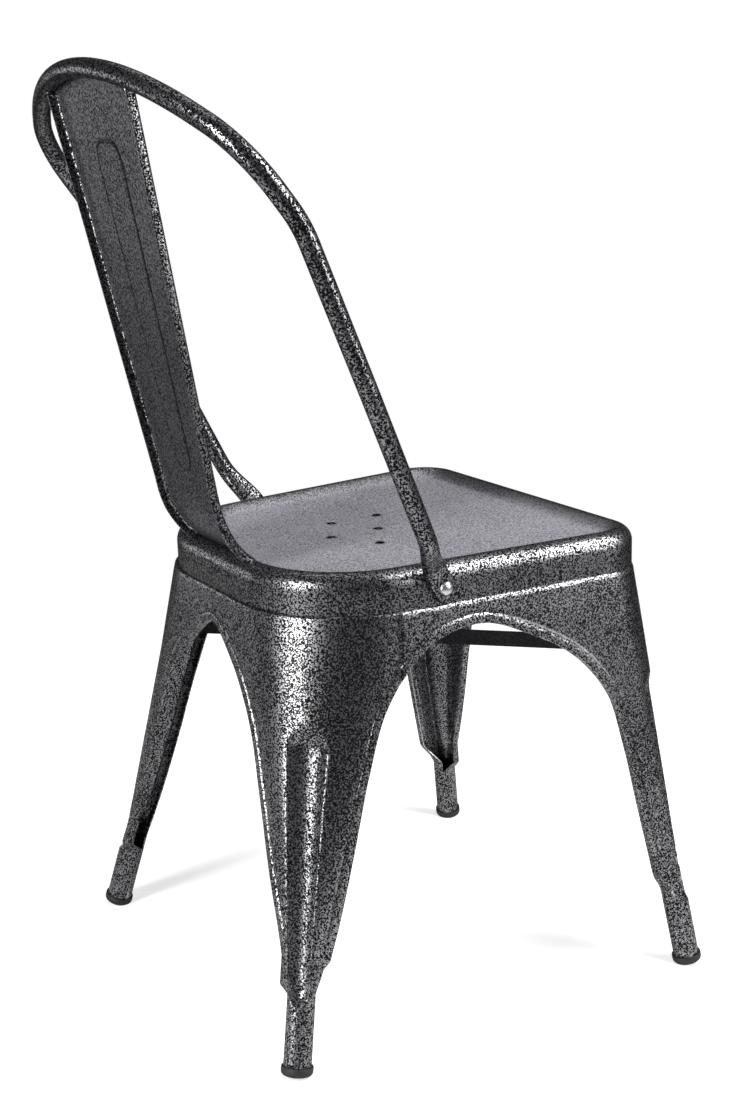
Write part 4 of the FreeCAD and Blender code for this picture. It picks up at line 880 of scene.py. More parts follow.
def leg_shape(rear):
    # Two functions: one presses the grid's columns and rows into a leg,
    # and one says which of the grid's faces stay.
    inset = LAYER if rear else 0.0
    stamps = flute_stamps(rear, inset)
    side_end = LAP_EDGE if rear else -SIDE_MIDDLE
    side_runs = edge_runs(side_arch(rear), past_collar, side_end, ARCH_ROWS)
    end_runs = edge_runs(end_arch(rear), past_collar, CENTRE_GAP, ARCH_ROWS)

    def pressed(along, height, fold_depth, reach):
        spot, outward = on_outline(rear, along, height)
        spot -= outward * inset
        fade = smooth_step(height, BAND_STARTS, BAND_FULL)
        return spot - outward * (fold_depth + band_step(reach) * fade)

    def edge_spot(runs, along_from, column, row):
        reach, fold_depth = EDGE_COLUMNS[column]
        across, height = runs[column][row]
        return pressed(along_from(rear, across, height), height, fold_depth, reach)

    def arch_spot(column, row):
        if column < EDGES:
            return edge_spot(side_runs, along_from_y, column, row)
        if column >= EDGES + PANEL_COLUMNS - 1:
            return edge_spot(end_runs, along_from_x, LEG_COLUMNS - column, row)
        share = (column - EDGES + 1) / PANEL_COLUMNS
        side_y, side_height = side_runs[-1][row]
        end_x, end_height = end_runs[-1][row]
        side_along = along_from_y(rear, side_y, side_height)
        end_along = along_from_x(rear, end_x, end_height)
        height = blend(side_height, end_height, level_share(rear, share))
        return pressed(blend(side_along, end_along, share), height, 0.0, WELL_INSIDE)

    def top_spot(column, row):
        # From the last row of the arches up to the plane under the seat's edge. The plane slopes,
        # so the height is found in a few rounds.
        column = min(max(column, EDGES - 1), EDGES + PANEL_COLUMNS - 1)
        share = (column - EDGES + 1) / PANEL_COLUMNS
        low = blend(side_runs[-1][-1].y, end_runs[-1][-1].y, level_share(rear, share))
        height = low
        for _ in range(3):
            side_along = along_from_y(rear, side_end, height)
            end_along = along_from_x(rear, CENTRE_GAP, height)
            along = blend(side_along, end_along, share)
            spot, _ = on_outline(rear, along, height)
            top = panel_top(rear, spot)
            height = blend(low, top, 1 - (1 - row / TOP_ROWS) ** 2)
        return pressed(along, height, edge_roll(top - height, rear), WELL_INSIDE)

    channel = [arch_spot(column, 0) for column in range(LEG_COLUMNS + 1)]
    walked = distances_along(channel)
    corner_angle = corner_middle(corner_at(rear, COLLAR_TOP)[3])
    axis = tube_run(rear)
    first_cross = Vector((1, 0, 0)) - axis * axis.x
    first_cross.normalize()
    second_cross = axis.cross(first_cross)

    def tube_ring(column, height):
        angle = corner_angle + math.pi * (2 * walked[column] / walked[-1] - 1)
        if column in (0, LEG_COLUMNS):
            angle = corner_angle + math.pi
        outward = first_cross * math.cos(angle) + second_cross * math.sin(angle)
        return tube_spot(rear, height) + outward * TUBE_RADIUS

    def collar_spot(column, row):
        # The channel closes into the tube, and lower at the corner than at the side arch.
        height = blend(COLLAR_LOW, COLLAR_TOP, row / COLLAR_ROWS)
        from_corner = walked[column] - walked[-1] / 2
        sag = COLLAR_SAG * smooth_step(from_corner, SAG_STARTS, SAG_FULL)
        share = smooth_step(height, COLLAR_FOOT - sag / 2, COLLAR_TOP - sag)
        drop = tube_spot(rear, height) - tube_spot(rear, COLLAR_TOP)
        return tube_ring(column, height).lerp(channel[column] + drop, share)

    def fluted(spot):
        hub = tube_spot(rear, spot.z)
        if spot.z > COLLAR_TOP:
            hub.x, hub.y, _, _ = corner_at(rear, spot.z)
        outward = Vector((spot.x - hub.x, spot.y - hub.y, 0)).normalized()
        return spot - outward * flute_depth(stamps, spot, outward)

    def shape(column, row):
        if row <= TUBE_ROWS:
            low = CAP_RISE + CAP_FLOOR * axis.z
            spot = tube_ring(column, blend(low, COLLAR_LOW, row / TUBE_ROWS))
        elif row < FIRST_ARCH_ROW:
            spot = collar_spot(column, row - TUBE_ROWS)
        elif row <= LAST_ARCH_ROW:
            spot = arch_spot(column, row - FIRST_ARCH_ROW)
        else:
            spot = top_spot(column, row - LAST_ARCH_ROW)
        if FOLD_END < column < LEG_COLUMNS - FOLD_END:
            spot = fluted(spot)
        return flipped(spot, facing=1 if rear else -1)

    def keep(column, row):
        # Above the arches only the panel goes on, and under the front panel the rear one's
        # edge isn't turned in.
        if row >= LAST_ARCH_ROW:
            return EDGES - 1 <= column < EDGES + PANEL_COLUMNS - 1
        arch_row = row - FIRST_ARCH_ROW
        lapped = rear and arch_row >= 0 and side_runs[0][arch_row].x < SEAM
        return not lapped or column >= FOLD_END

    return shape, keep


for rear in (True, False):
    lean = math.degrees(tube_run(rear).angle(Vector((0, 0, 1))))
    print("Foot tube leans", round(lean, 1), "degrees at the", "rear" if rear else "front")

# %% [markdown]
# The front panel goes on past the crown of the side arch and laps over the rear one. That stretch
# is a small grid of its own, which shares its first column of points with the leg's.

# %% Press the legs
LAP_COLUMNS = 26
LAP_MARKS = LAP_COLUMNS ** 2
LAP_RAMP = 6.0
LAP_CLEAR = 0.05
UNDER_SEAT = (0, 0, 200)


def past_crown(point):
    return -SIDE_MIDDLE - point.x


def lap_mesh():
    runs = edge_runs(side_arch(False), past_crown, -SEAM, LAP_MARKS)

    def shape(column, row):
        # The columns crowd together towards the lap's edge, which rolls in on the rear panel.
        mark = LAP_MARKS - (LAP_COLUMNS - column) ** 2
        if row < EDGES:
            reach, fold_depth = EDGE_COLUMNS[row]
            across, height = runs[row][mark]
        else:
            reach, fold_depth = WELL_INSIDE, 0.0
            across, low = runs[-1][mark]
            share = (row - EDGES + 1) / TOP_ROWS
            top = panel_top(False, Vector((0, across, 0)))
            height = blend(low, top, 1 - (1 - share) ** 2)
        spot, outward = on_outline(False, along_from_y(False, across, height), height)
        ramp = (LAYER - LAP_CLEAR) * (1 - smooth_step(across + SEAM, 0.0, LAP_RAMP))
        rolled = edge_roll(panel_top(False, spot) - height, False) + ramp
        return flipped(spot - outward * (fold_depth + band_step(reach) + rolled), facing=-1)

    return rolled_grid(LAP_COLUMNS, EDGES - 1 + TOP_ROWS, shape)


def joined(first, second):
    # Two bmeshes in one, through a mesh that is thrown away again.
    carrier = bpy.data.meshes.new("carrier")
    second.to_mesh(carrier)
    second.free()
    first.from_mesh(carrier)
    bpy.data.meshes.remove(carrier)
    return first


for rear, end in ((False, "front"), (True, "rear")):
    leg = rolled_grid(LEG_COLUMNS, LEG_ROWS, *leg_shape(rear))
    if not rear:
        leg = joined(leg, lap_mesh())
    join_seams(leg)
    face_away(leg, UNDER_SEAT)
    for hand, mesh in (("left", leg), ("right", mirrored_mesh(leg))):
        give_wall(mesh, SHEET)
        make_piece(f"leg_{end}_{hand}_sheet", mesh, FRAME_PAINT, "frame_paint", f"leg_{end}_{hand}")

# %% [markdown]
# The seat is one pressed sheet. Its grid is made of spokes and rings: the spokes follow the
# outline of the legs, and the rings step up the skirt, over the rim and inwards. First comes the
# outline, as five runs from the middle of the front to the middle of the back.

# %% The seat's outline
SEAT_INSET = 2 * LAYER
SPOKE_RUNS = (22, 20, 44, 46, 18)
HALF_SPOKES = sum(SPOKE_RUNS)
SEAT_PLACE = Matrix.Translation((0, SEAT_BACK, SEAT_HEIGHT)) @ Matrix.Rotation(-SEAT_SLOPE, 4, "X")


def on_arc(hub, radius, angle):
    return hub + Vector((math.cos(angle), math.sin(angle), 0)) * radius


def half_outline(step, inset):
    # A spot on the right half of the seat's outline, from the middle of the front to the rear's.
    front_x, front_depth, front_radius, _ = corner_at(False, SKIRT_LEVEL)
    rear_x, rear_depth, rear_radius, side = corner_at(True, SKIRT_LEVEL)
    front_radius -= inset
    rear_radius -= inset
    front = Vector((front_x, -front_depth, 0))
    rear = Vector((rear_x, rear_depth, 0))
    front_middle = Vector((0, -front_depth - front_radius, 0))
    rear_middle = Vector((0, rear_depth + rear_radius, 0))
    run = 0
    while run < len(SPOKE_RUNS) - 1 and step > SPOKE_RUNS[run]:
        step -= SPOKE_RUNS[run]
        run += 1
    share = step / SPOKE_RUNS[run]
    if run == 0:
        return on_arc(front, front_radius, -QUARTER) * share + front_middle * (1 - share)
    if run == 1:
        return on_arc(front, front_radius, blend(-QUARTER, side, share))
    if run == 2:
        return on_arc(front, front_radius, side).lerp(on_arc(rear, rear_radius, side), share)
    if run == 3:
        return on_arc(rear, rear_radius, blend(side, QUARTER, share))
    return on_arc(rear, rear_radius, QUARTER).lerp(rear_middle, share)


def seat_outline(spoke, inset):
    if spoke <= HALF_SPOKES:
        return half_outline(spoke, inset)
    return flipped(half_outline(2 * HALF_SPOKES - spoke, inset), side=-1)


print("Spokes of the seat:", 2 * HALF_SPOKES)

# %% [markdown]
# A skirt stands under the seat's rounded rim, and inside the rim the sheet falls in a soft slope
# to a flat floor with seven small drain holes, one in the middle and six round it. The grid's
# rings are close together on the floor, so that the holes can be punched by taking faces away
# and moving the points round each hole onto its circle.

# %% Press the seat
SKIRT_DEPTH = 52.0
SKIRT_SHARES = (0.0, 0.25, 0.5, 0.68)
RIM_ROUND = 13.5
RIM_STEPS = 9
CREST = 14.0
DISH_SLOPE = 15.0
DISH_DEPTH = 8.6
DISH_STEPS = 14
DRAIN_MIDDLE = Vector((0, 6.5, 0))
DRAIN_CIRCLE = 52.0
DRAIN_RADIUS = 3.9
DIMPLE_START = 4.3
DIMPLE_RADIUS = 8.8
DIMPLE_DEPTH = 0.2

# Each ring has a distance inside the outline and a height. The floor's go from its edge, at 0,
# to its middle, at 1
RINGS = [(0.0, -SKIRT_DEPTH * (1 - share)) for share in SKIRT_SHARES]
RINGS += [(inset, -drop) for inset, drop in quarter_round(RIM_ROUND, RIM_STEPS)]
DISH_START = len(RINGS) - 1
for ring_share in stops((0.0, 1.0, DISH_STEPS)):
    RINGS.append((CREST + DISH_SLOPE * ring_share, -DISH_DEPTH * (1 - math.cos(math.pi * ring_share)) / 2))
FLOOR_SHARES = stops((0.0, 0.5, 12), (0.5, 1.0, 50))[1:]
DRAINS = [DRAIN_MIDDLE.copy()]
for drain_step in range(6):
    DRAINS.append(on_arc(DRAIN_MIDDLE, DRAIN_CIRCLE, math.radians(90 + 60 * drain_step)))


def flat_distance(first, second):
    return math.hypot(first.x - second.x, first.y - second.y)


def floor_height(spot):
    # The floor dips a little around each drain hole.
    nearest = min(flat_distance(spot, drain) for drain in DRAINS)
    return -DISH_DEPTH - DIMPLE_DEPTH * (1 - smooth_step(nearest, DIMPLE_START, DIMPLE_RADIUS))


def seat_shape(spoke, ring):
    if ring < len(RINGS):
        inset, height = RINGS[ring]
        spot = seat_outline(spoke, SEAT_INSET + inset)
        spot.z = height
    else:
        share = FLOOR_SHARES[ring - len(RINGS)]
        spot = seat_outline(spoke, SEAT_INSET + CREST + DISH_SLOPE).lerp(DRAIN_MIDDLE, share)
        spot.z = floor_height(spot)
    return SEAT_PLACE @ spot


def seat_fine(spoke, ring):
    # The rim wears the frame's coarse paint, and the paint settles finer down the dish's slope
    # and over the floor's first three rings.
    return smooth_step(ring, DISH_START, len(RINGS) + 3)


def punch_drains(mesh):
    # Points inside a hole go, and those left around it move onto its circle. The hole's edge gets
    # painted shade, so that the hole looks dark.
    to_seat = SEAT_PLACE.inverted()
    shade_layer = mesh.verts.layers.float[SHADE_LAYER]

    def seat_spot(vert):
        return to_seat @ (vert.co / MM + Vector((0, SEAT_TO_ORIGIN, 0)))

    for drain in DRAINS:
        inside = [vert for vert in mesh.verts if flat_distance(seat_spot(vert), drain) < DRAIN_RADIUS]
        bmesh.ops.delete(mesh, geom=inside, context="VERTS")
        for vert in mesh.verts:
            spot = seat_spot(vert)
            reach = flat_distance(spot, drain)
            if vert.is_boundary and reach < 2 * DRAIN_RADIUS:
                vert[shade_layer] = 1.0
                level = Vector((spot.x - drain.x, spot.y - drain.y, 0)) * (DRAIN_RADIUS / reach)
                vert.co = in_frame(SEAT_PLACE @ Vector((drain.x + level.x, drain.y + level.y, spot.z)))


seat = rolled_grid(2 * HALF_SPOKES, len(RINGS) + len(FLOOR_SHARES) - 1, seat_shape, fine=seat_fine)
join_seams(seat)
punch_drains(seat)
face_away(seat, UNDER_SEAT)
give_wall(seat, SHEET)
make_piece("seat_pressing", seat, SEAT_PAINT, "panel_paint", "seat_pan")

# %% [markdown]
# The splat is a sheet with both sides folded back. Seen from the side it leaves the seat's rim
# along the rim's slope, bends up and leans back to the hoop. So its shape is worked out in two
# views: how far up and back a spot lies, and how wide the splat is at that height. The hoop's
# crown is one large arc in a leaning plane, which the splat's top edge follows.

# %% The splat's outline
SPLAT_FOOT = Vector((0, 168.6, 425.0))
SPLAT_LEAN = math.radians(13.4)
SPLAT_TURN = math.radians(40.3)
FOOT_LEAN = SPLAT_LEAN + SPLAT_TURN
SPLAT_BEND = 91.7
SPLAT_ARC = SPLAT_BEND * SPLAT_TURN
SPLAT_TUCK = 3.0
HEAD_HALF = 83.4
SPLAT_WIDTHS = ((0.0, 51.0), (31.4, 56.4), (62.4, 56.4), (400.0, HEAD_HALF))
CROWN = Vector((0, 333.7, 885.9))
CROWN_ARC_CENTRE = Vector((0, 120.9, 609.6))
CROWN_ARC = 293.0
CROWN_DOWN = Vector((0, -0.610, -0.792))


def splat_half(rise):
    # Half-width at a height above the splat's foot. The last stretch goes on past its end.
    stretch = 0
    while stretch < len(SPLAT_WIDTHS) - 2 and rise > SPLAT_WIDTHS[stretch + 1][0]:
        stretch += 1
    (low, low_half), (high, high_half) = SPLAT_WIDTHS[stretch:stretch + 2]
    return blend(low_half, high_half, max((rise - low) / (high - low), 0.0))


def splat_side(walked):
    # Place and backward direction at a distance walked up the splat's back face.
    lean = SPLAT_LEAN + SPLAT_TURN * (1 - min(walked, SPLAT_ARC) / SPLAT_ARC)
    lean = min(lean, FOOT_LEAN)
    centre = SPLAT_FOOT + Vector((0, -math.cos(FOOT_LEAN), math.sin(FOOT_LEAN))) * SPLAT_BEND
    back = Vector((0, math.cos(lean), -math.sin(lean)))
    up = Vector((0, math.sin(lean), math.cos(lean)))
    return centre + back * SPLAT_BEND + up * (max(walked - SPLAT_ARC, 0.0) + min(walked, 0.0)), back


def hoop_centre_height(across):
    spot = CROWN_ARC_CENTRE - CROWN_DOWN * math.sqrt(CROWN_ARC ** 2 - across ** 2)
    return spot.z


def splat_length(across):
    # Distance up the back face to the splat's top edge, which follows the hoop.
    knee, _ = splat_side(SPLAT_ARC)
    return SPLAT_ARC + (hoop_centre_height(across) - SPLAT_TUCK - knee.z) / math.cos(SPLAT_LEAN)


print("Splat, foot to top along its back face:", round(splat_length(0.0), 1), "mm")

# %% [markdown]
# A long panel with round ends is pressed a little out of the splat's back, and the sunk line around it
# gets painted shade. The grid's columns and rows are close together where that
# line runs.

# %% Press the splat
SPLAT_THICK = 1.5
SPLAT_FLANGE = 7.9
SPLAT_ROUND = 2.6
SPLAT_SINK = 3.0
BEHIND_SPLAT = (0, 600, 600)

# The panel's height and half-width at each end, and how round that end is: 2 is a circle
PANEL_LOW = (90.0, 14.5)
PANEL_HIGH = (335.0, 24.0)
LOW_POWER = 2.0
HIGH_POWER = 3.5
PANEL_PROUD = 0.4
PANEL_SOFTNESS = 1.0
PANEL_LINE = 1.0
LINE_HALF = 2.1

SPLAT_EDGE = [(0.0, SPLAT_FLANGE), (0.0, 6.0), (0.0, 4.3), *quarter_round(SPLAT_ROUND, 5)]
SPLAT_HALF_WEB = stops((1.0, 0.36, 13), (0.36, 0.14, 22), (0.14, 0.0, 5))
SPLAT_MARKS = stops((0.0, 0.16, 26), (0.16, 0.25, 30), (0.25, 0.78, 44), (0.78, 0.88, 32), (0.88, 1.0, 10))
SPLAT_COLUMNS = 2 * (len(SPLAT_EDGE) + len(SPLAT_HALF_WEB) - 2)


def raised(across, rise):
    # How far a spot stands out with the panel, and how deep it lies in the sunk line round it.
    low, low_half = PANEL_LOW
    high, high_half = PANEL_HIGH
    share = min(max((rise - low) / (high - low), 0.0), 1.0)
    power = blend(LOW_POWER, HIGH_POWER, share)
    past = abs(rise - blend(low, high, share))
    distance = (abs(across) ** power + past ** power) ** (1 / power)
    inside = blend(low_half, high_half, share) - distance
    line = 1 - smooth_step(abs(inside), 0.0, LINE_HALF)
    proud = PANEL_PROUD * smooth_step(inside, -PANEL_SOFTNESS, PANEL_SOFTNESS)
    return proud - PANEL_LINE * line, line


def splat_place(column, row):
    # Place on the pressed sheet, and how deep it lies in the panel's sunk line.
    side = -1
    if column > SPLAT_COLUMNS / 2:
        column = SPLAT_COLUMNS - column
        side = 1
    if column < len(SPLAT_EDGE):
        inset, depth = SPLAT_EDGE[column]
        share = 1.0
    else:
        inset, depth = SPLAT_ROUND, 0.0
        share = SPLAT_HALF_WEB[column - len(SPLAT_EDGE) + 1]
    walked = blend(-SPLAT_SINK, splat_length(HEAD_HALF * share), SPLAT_MARKS[row])
    spot, back = splat_side(walked)
    rise = spot.z - SPLAT_FOOT.z
    across = (splat_half(rise) - inset) * share
    proud, line = raised(across, rise)
    spot += back * (depth + proud)
    return Vector((side * across, spot.y, spot.z)), line


def splat_shape(column, row):
    return splat_place(column, row)[0]


def splat_shade(column, row):
    # The panel's sunk line gets painted shade.
    return splat_place(column, row)[1]


def splat_fine(column, row):
    # The folded sides wear the coarse paint, and the web the splat's far darker look with its painted
    # shade.
    from_side = min(column, SPLAT_COLUMNS - column)
    return smooth_step(from_side, len(SPLAT_EDGE) - 2, len(SPLAT_EDGE) + 1)


splat = rolled_grid(
    SPLAT_COLUMNS, len(SPLAT_MARKS) - 1, splat_shape, fine=splat_fine, shade=splat_shade)
join_seams(splat)

# The grid is the sheet's back face, so it is turned to look back and gets its wall in front
face_away(splat, BEHIND_SPLAT)
bmesh.ops.reverse_faces(splat, faces=splat.faces)
give_wall(splat, SPLAT_THICK)
make_piece("splat_pressing", splat, SPLAT_PAINT, "panel_paint", "back_splat")

# %% [markdown]
# The hoop is one bent tube. Its ends are pressed flat into tabs, and a rivet holds each to the
# seat's skirt. The rivet comes first, because the tab lies flat on the skirt there and leans back,
# and the tube's path starts where the tab ends.

# %% Where the hoop is riveted
TAB_THICK = 6.5
TAB_FLAT = 9.0
TAB_LEAN = math.radians(32)
RIVET_BACK = 44.5
RIVET_DROP = 20.0
FIT = 0.3


def rivet_frame():
    # The rivet's place on the skirt, the skirt's outward direction and the tab's long direction.
    side = math.atan(SIDE_TAPER[0])
    half = SIDE_HALF[0] - SEAT_INSET / math.cos(side)
    spot = SEAT_PLACE @ Vector((half - math.tan(side) * RIVET_BACK, RIVET_BACK, -RIVET_DROP))
    outward = SEAT_PLACE.to_3x3() @ Vector((math.cos(side), math.sin(side), 0))
    level = Vector((0, 0, 1)).cross(outward).normalized()
    upright = outward.cross(level)
    return spot, outward, (level * math.sin(TAB_LEAN) + upright * math.cos(TAB_LEAN)).normalized()


rivet_spot, rivet_outward, tab_long = rivet_frame()
tab_middle = rivet_spot + rivet_outward * (FIT + TAB_THICK / 2)
print("Left rivet on the skirt at", [round(value, 1) for value in rivet_spot], "mm")

# %% [markdown]
# A tube bender makes straight runs and round bends, so the hoop's path is a few corner points, each
# with the radius of its bend. The flat neck between the tab and the first run is an eased curve.
# Only the left half is needed, up to the middle of the crown.

# %% The hoop's path
HOOP_POINTS = [
    Vector((185.5, 70.1, 447.0)),
    Vector((192.4, 76.1, 457.6)),
    Vector((206.3, 143.7, 590.2)),
    Vector((209.6, 207.8, 725.2)),
    Vector((205.0, 253.0, 781.2)),
    CROWN,
    Vector((-205.0, 253.0, 781.2)),
]
HOOP_BENDS = [40.0, 200.0, 130.0, 82.0, CROWN_ARC]
ARC_STEP = 3.0
RUN_STEP = 12.0
NECK_STEPS = 10


def bent_path(points, bends):
    # Straight runs joined by tangent arcs, as points about a step apart.
    path = [points[0]]
    for index, radius in enumerate(bends, start=1):
        corner = points[index]
        back = (points[index - 1] - corner).normalized()
        ahead = (points[index + 1] - corner).normalized()
        half_angle = back.angle(ahead) / 2
        bisector = (back + ahead).normalized()
        centre = corner + bisector * (radius / math.sin(half_angle))
        first = corner + back * (radius / math.tan(half_angle)) - centre
        axis = back.cross(ahead).normalized()
        turn = math.pi - 2 * half_angle
        steps = max(math.ceil(turn * radius / ARC_STEP), 4)
        previous = path[-1]
        run = (centre + first - previous).length
        for step in range(1, math.floor(run / RUN_STEP) + 1):
            path.append(previous.lerp(centre + first, step * RUN_STEP / run))
        for step in range(steps + 1):
            path.append(centre + Matrix.Rotation(-turn * step / steps, 3, axis) @ first)
    return path


hoop_path = [spot for spot in bent_path(HOOP_POINTS, HOOP_BENDS) if spot.x > 1.0][1:]
hoop_path.append(CROWN_ARC_CENTRE - CROWN_DOWN * CROWN_ARC)
neck_start = tab_middle + tab_long * TAB_FLAT
neck_end = hoop_path[0]
neck_length = (neck_end - neck_start).length
foot_run = (HOOP_POINTS[1] - HOOP_POINTS[0]).normalized()
hoop_path = [
    eased(neck_start, tab_long * neck_length, neck_end, foot_run * neck_length, step / NECK_STEPS)
    for step in range(NECK_STEPS)] + hoop_path
print("Half the hoop's path:", round(distances_along(hoop_path)[-1], 1), "mm in", len(hoop_path), "points")

# %% [markdown]
# Rings are strung along the path. At the tab a ring is a flat rounded rectangle, which turns into a
# circle up the neck, and the tab's tip is rounded by rings that get narrower. The other half of
# the hoop is a mirror image.

# %% Bend the hoop
# The tube is 0.06 thinner than the CAD model's, so that its top stays inside the CAD's box
HOOP_RADIUS = 8.24
RING_SIDES = 32
TAB_HALF = 11.25
TAB_CORNER = 2.9
FLAT_ENDS = -4.0
ROUND_FROM = 58.0
TIP_STEPS = 8
TIP_TURN = math.radians(88)
TIP_PINCH = 0.45
PINCH_WIDTH = 8.0
TIP_BELOW = 420.0
MIRROR_REACH = 0.05

# Each ring is a place, a direction, half its width, half its thickness and a corner radius
hoop_rings = []
for tip_step in range(TIP_STEPS + 1):
    tip_angle = TIP_TURN * (1 - tip_step / TIP_STEPS)
    spot = tab_middle - tab_long * TAB_HALF * math.sin(tip_angle)
    width = TAB_HALF * math.cos(tip_angle)
    pinch = blend(TIP_PINCH, 1.0, smooth_step(width, 0.0, PINCH_WIDTH))
    hoop_rings.append((spot, tab_long, width, TAB_THICK / 2 * pinch, min(TAB_CORNER * pinch, width)))
hoop_runs = [(ahead - behind).normalized() for behind, ahead in zip(hoop_path, hoop_path[2:])]
hoop_runs = [tab_long, *hoop_runs, Vector((-1, 0, 0))]
for spot, run, walked in zip(hoop_path, hoop_runs, distances_along(hoop_path)):
    share = smooth_step(walked, FLAT_ENDS, ROUND_FROM)
    sizes = [blend(flat, HOOP_RADIUS, share) for flat in (TAB_HALF, TAB_THICK / 2, TAB_CORNER)]
    hoop_rings.append((spot, run, *sizes))

hoop_frames = []
thin = rivet_outward
for spot, run, half_wide, half_thick, corner in hoop_rings:
    thin = (thin - run * thin.dot(run)).normalized()
    hoop_frames.append((spot, run.cross(thin), thin, half_wide, half_thick, corner))


def hoop_shape(column, row):
    spot, wide, thin, half_wide, half_thick, corner = hoop_frames[row]
    quarter = RING_SIDES // 4
    turn = column % RING_SIDES
    hub_x = (half_wide - corner) * (1 if turn // quarter in (0, 3) else -1)
    hub_y = (half_thick - corner) * (1 if turn // quarter in (0, 1) else -1)
    angle = 2 * math.pi * (turn + 0.5) / RING_SIDES
    return (
        spot + wide * (hub_x + corner * math.cos(angle)) + thin * (hub_y + corner * math.sin(angle)))


hoop = rolled_grid(RING_SIDES, len(hoop_frames) - 1, hoop_shape)
join_seams(hoop)
tip_edges = [
    edge for edge in hoop.edges
    if edge.is_boundary and all(vert.co.z < TIP_BELOW * MM for vert in edge.verts)]
bmesh.ops.contextual_create(hoop, geom=tip_edges)
bmesh.ops.mirror(
    hoop, geom=hoop.verts[:] + hoop.edges[:] + hoop.faces[:], axis="X", merge_dist=MIRROR_REACH * MM)
join_seams(hoop)
bmesh.ops.recalc_face_normals(hoop, faces=hoop.faces)
make_piece("hoop_tube", hoop, HOOP_PAINT, "frame_paint", "back_hoop")

# %% [markdown]
# Rivets and foot caps are turned shapes: a profile spun round an axis. A rivet has a domed head
# outside the tab, a shank through the tab and the skirt, and a flat tail inside.

# %% Turn the rivets
RIVET_SHANK = 4.0
RIVET_HEAD = 6.3
RIVET_DOME = 3.9
RIVET_TAIL = 5.5
RIVET_TAIL_HEIGHT = 2.0
TAIL_ROUND = 0.4
HEAD_ROUND = 0.3
DOME_STEPS = 10
TURN_STEPS = 40


def turned(profile, start, direction, steps=TURN_STEPS):
    # A profile of (radius, height) spun round an axis from start; both are in millimetres.
    mesh = bmesh.new()
    frame_turn = direction.to_track_quat("Z", "Y")
    verts = []
    for radius, height in profile:
        verts.append(mesh.verts.new(in_frame(start + frame_turn @ Vector((radius, 0, height)))))
    edges = [mesh.edges.new(pair) for pair in zip(verts, verts[1:])]
    bmesh.ops.spin(
        mesh, geom=verts + edges, cent=in_frame(start), axis=direction, angle=2 * math.pi,
        steps=steps, use_merge=True)
    join_seams(mesh)
    bmesh.ops.recalc_face_normals(mesh, faces=mesh.faces)
    return mesh


def rivet_profile():
    head_base = RIVET_TAIL_HEIGHT + TAB_THICK + FIT + SHEET
    dome_base = head_base + HEAD_ROUND
    profile = [
        (0.0, 0.0), (RIVET_TAIL - TAIL_ROUND, 0.0), (RIVET_TAIL, TAIL_ROUND),
        (RIVET_TAIL, RIVET_TAIL_HEIGHT), (RIVET_SHANK, RIVET_TAIL_HEIGHT), (RIVET_SHANK, head_base),
        (RIVET_HEAD - HEAD_ROUND, head_base), (RIVET_HEAD, dome_base)]
    for step in range(1, DOME_STEPS + 1):
        angle = QUARTER * step / DOME_STEPS
        rise = (RIVET_DOME - HEAD_ROUND) * math.sin(angle)
        profile.append((RIVET_HEAD * math.cos(angle), dome_base + rise))
    return profile


rivet_start = rivet_spot - rivet_outward * (SHEET + RIVET_TAIL_HEIGHT)
for hand, side in (("left", 1), ("right", -1)):
    rivet = turned(rivet_profile(), flipped(rivet_start, side), flipped(rivet_outward, side))
    make_piece(f"rivet_{hand}", rivet, LIT_RIVET_PAINT, "frame_paint", f"hoop_rivet_{hand}")

# %% [markdown]
# Each cap is a rubber cup pushed over a foot tube. Its mouth has a soft edge, its end is rounded,
# and it stands on a small level spot, because the legs splay.

# %% Mould the foot caps
CAP_HEIGHT = 8.5
CAP_FIT = 0.1
CAP_WALL = 1.58
CAP_ROUND = 4.0
CAP_ROUND_STEPS = 8
CAP_BOTTOM = 3.5
CAP_MIDDLE = 5.0
CAP_STEPS = 56
MOUTH_ROUND = 0.7
MOUTH_SHOULDER = 0.2
MOUTH_CHAMFER = 0.4


def cap_profile():
    inside = TUBE_RADIUS + CAP_FIT
    outside = inside + CAP_WALL
    profile = [(0.0, 0.0), (CAP_MIDDLE, 0.0)]
    for inset, rise in reversed(quarter_round(CAP_ROUND, CAP_ROUND_STEPS)):
        profile.append((outside - inset, rise))
    profile += [
        (outside, CAP_HEIGHT - MOUTH_ROUND), (outside - MOUTH_SHOULDER, CAP_HEIGHT - MOUTH_SHOULDER),
        (outside - MOUTH_ROUND, CAP_HEIGHT), (inside + MOUTH_CHAMFER, CAP_HEIGHT),
        (inside, CAP_HEIGHT - MOUTH_CHAMFER), (inside, CAP_BOTTOM), (0.0, CAP_BOTTOM)]
    return profile


def cap_mesh(rear, side):
    facing = 1 if rear else -1
    start = flipped(tube_spot(rear, CAP_RISE), side, facing)
    mesh = turned(cap_profile(), start, flipped(tube_run(rear), side, facing), steps=CAP_STEPS)
    cut = bmesh.ops.bisect_plane(
        mesh, geom=mesh.verts[:] + mesh.edges[:] + mesh.faces[:], plane_co=(0, 0, 0),
        plane_no=(0, 0, 1), clear_inner=True)
    rim = [item for item in cut["geom_cut"] if isinstance(item, bmesh.types.BMEdge)]
    bmesh.ops.contextual_create(mesh, geom=rim)
    bmesh.ops.recalc_face_normals(mesh, faces=mesh.faces)
    return mesh


for rear, end in ((False, "front"), (True, "rear")):
    for hand, side in (("left", 1), ("right", -1)):
        make_piece(
            f"cap_{end}_{hand}", cap_mesh(rear, side), RUBBER, "foot_rubber", f"foot_cap_{end}_{hand}")

# %% [markdown]
# The cross brace and the weld beads are simple enough to stay as the CAD model has them, with a
# small rounding on their sharp edges. The brace gets its paint with painted shade and painted edge
# highlights, and the two beads at the splat's foot the rivets' paint with its painted highlight. All the
# rest, the nodes that other pieces stand for among them, gets the frame's paint.

# %% Paint the pieces that stay
KEPT_ROUND = 0.3
KEPT_SHARP = math.radians(50)

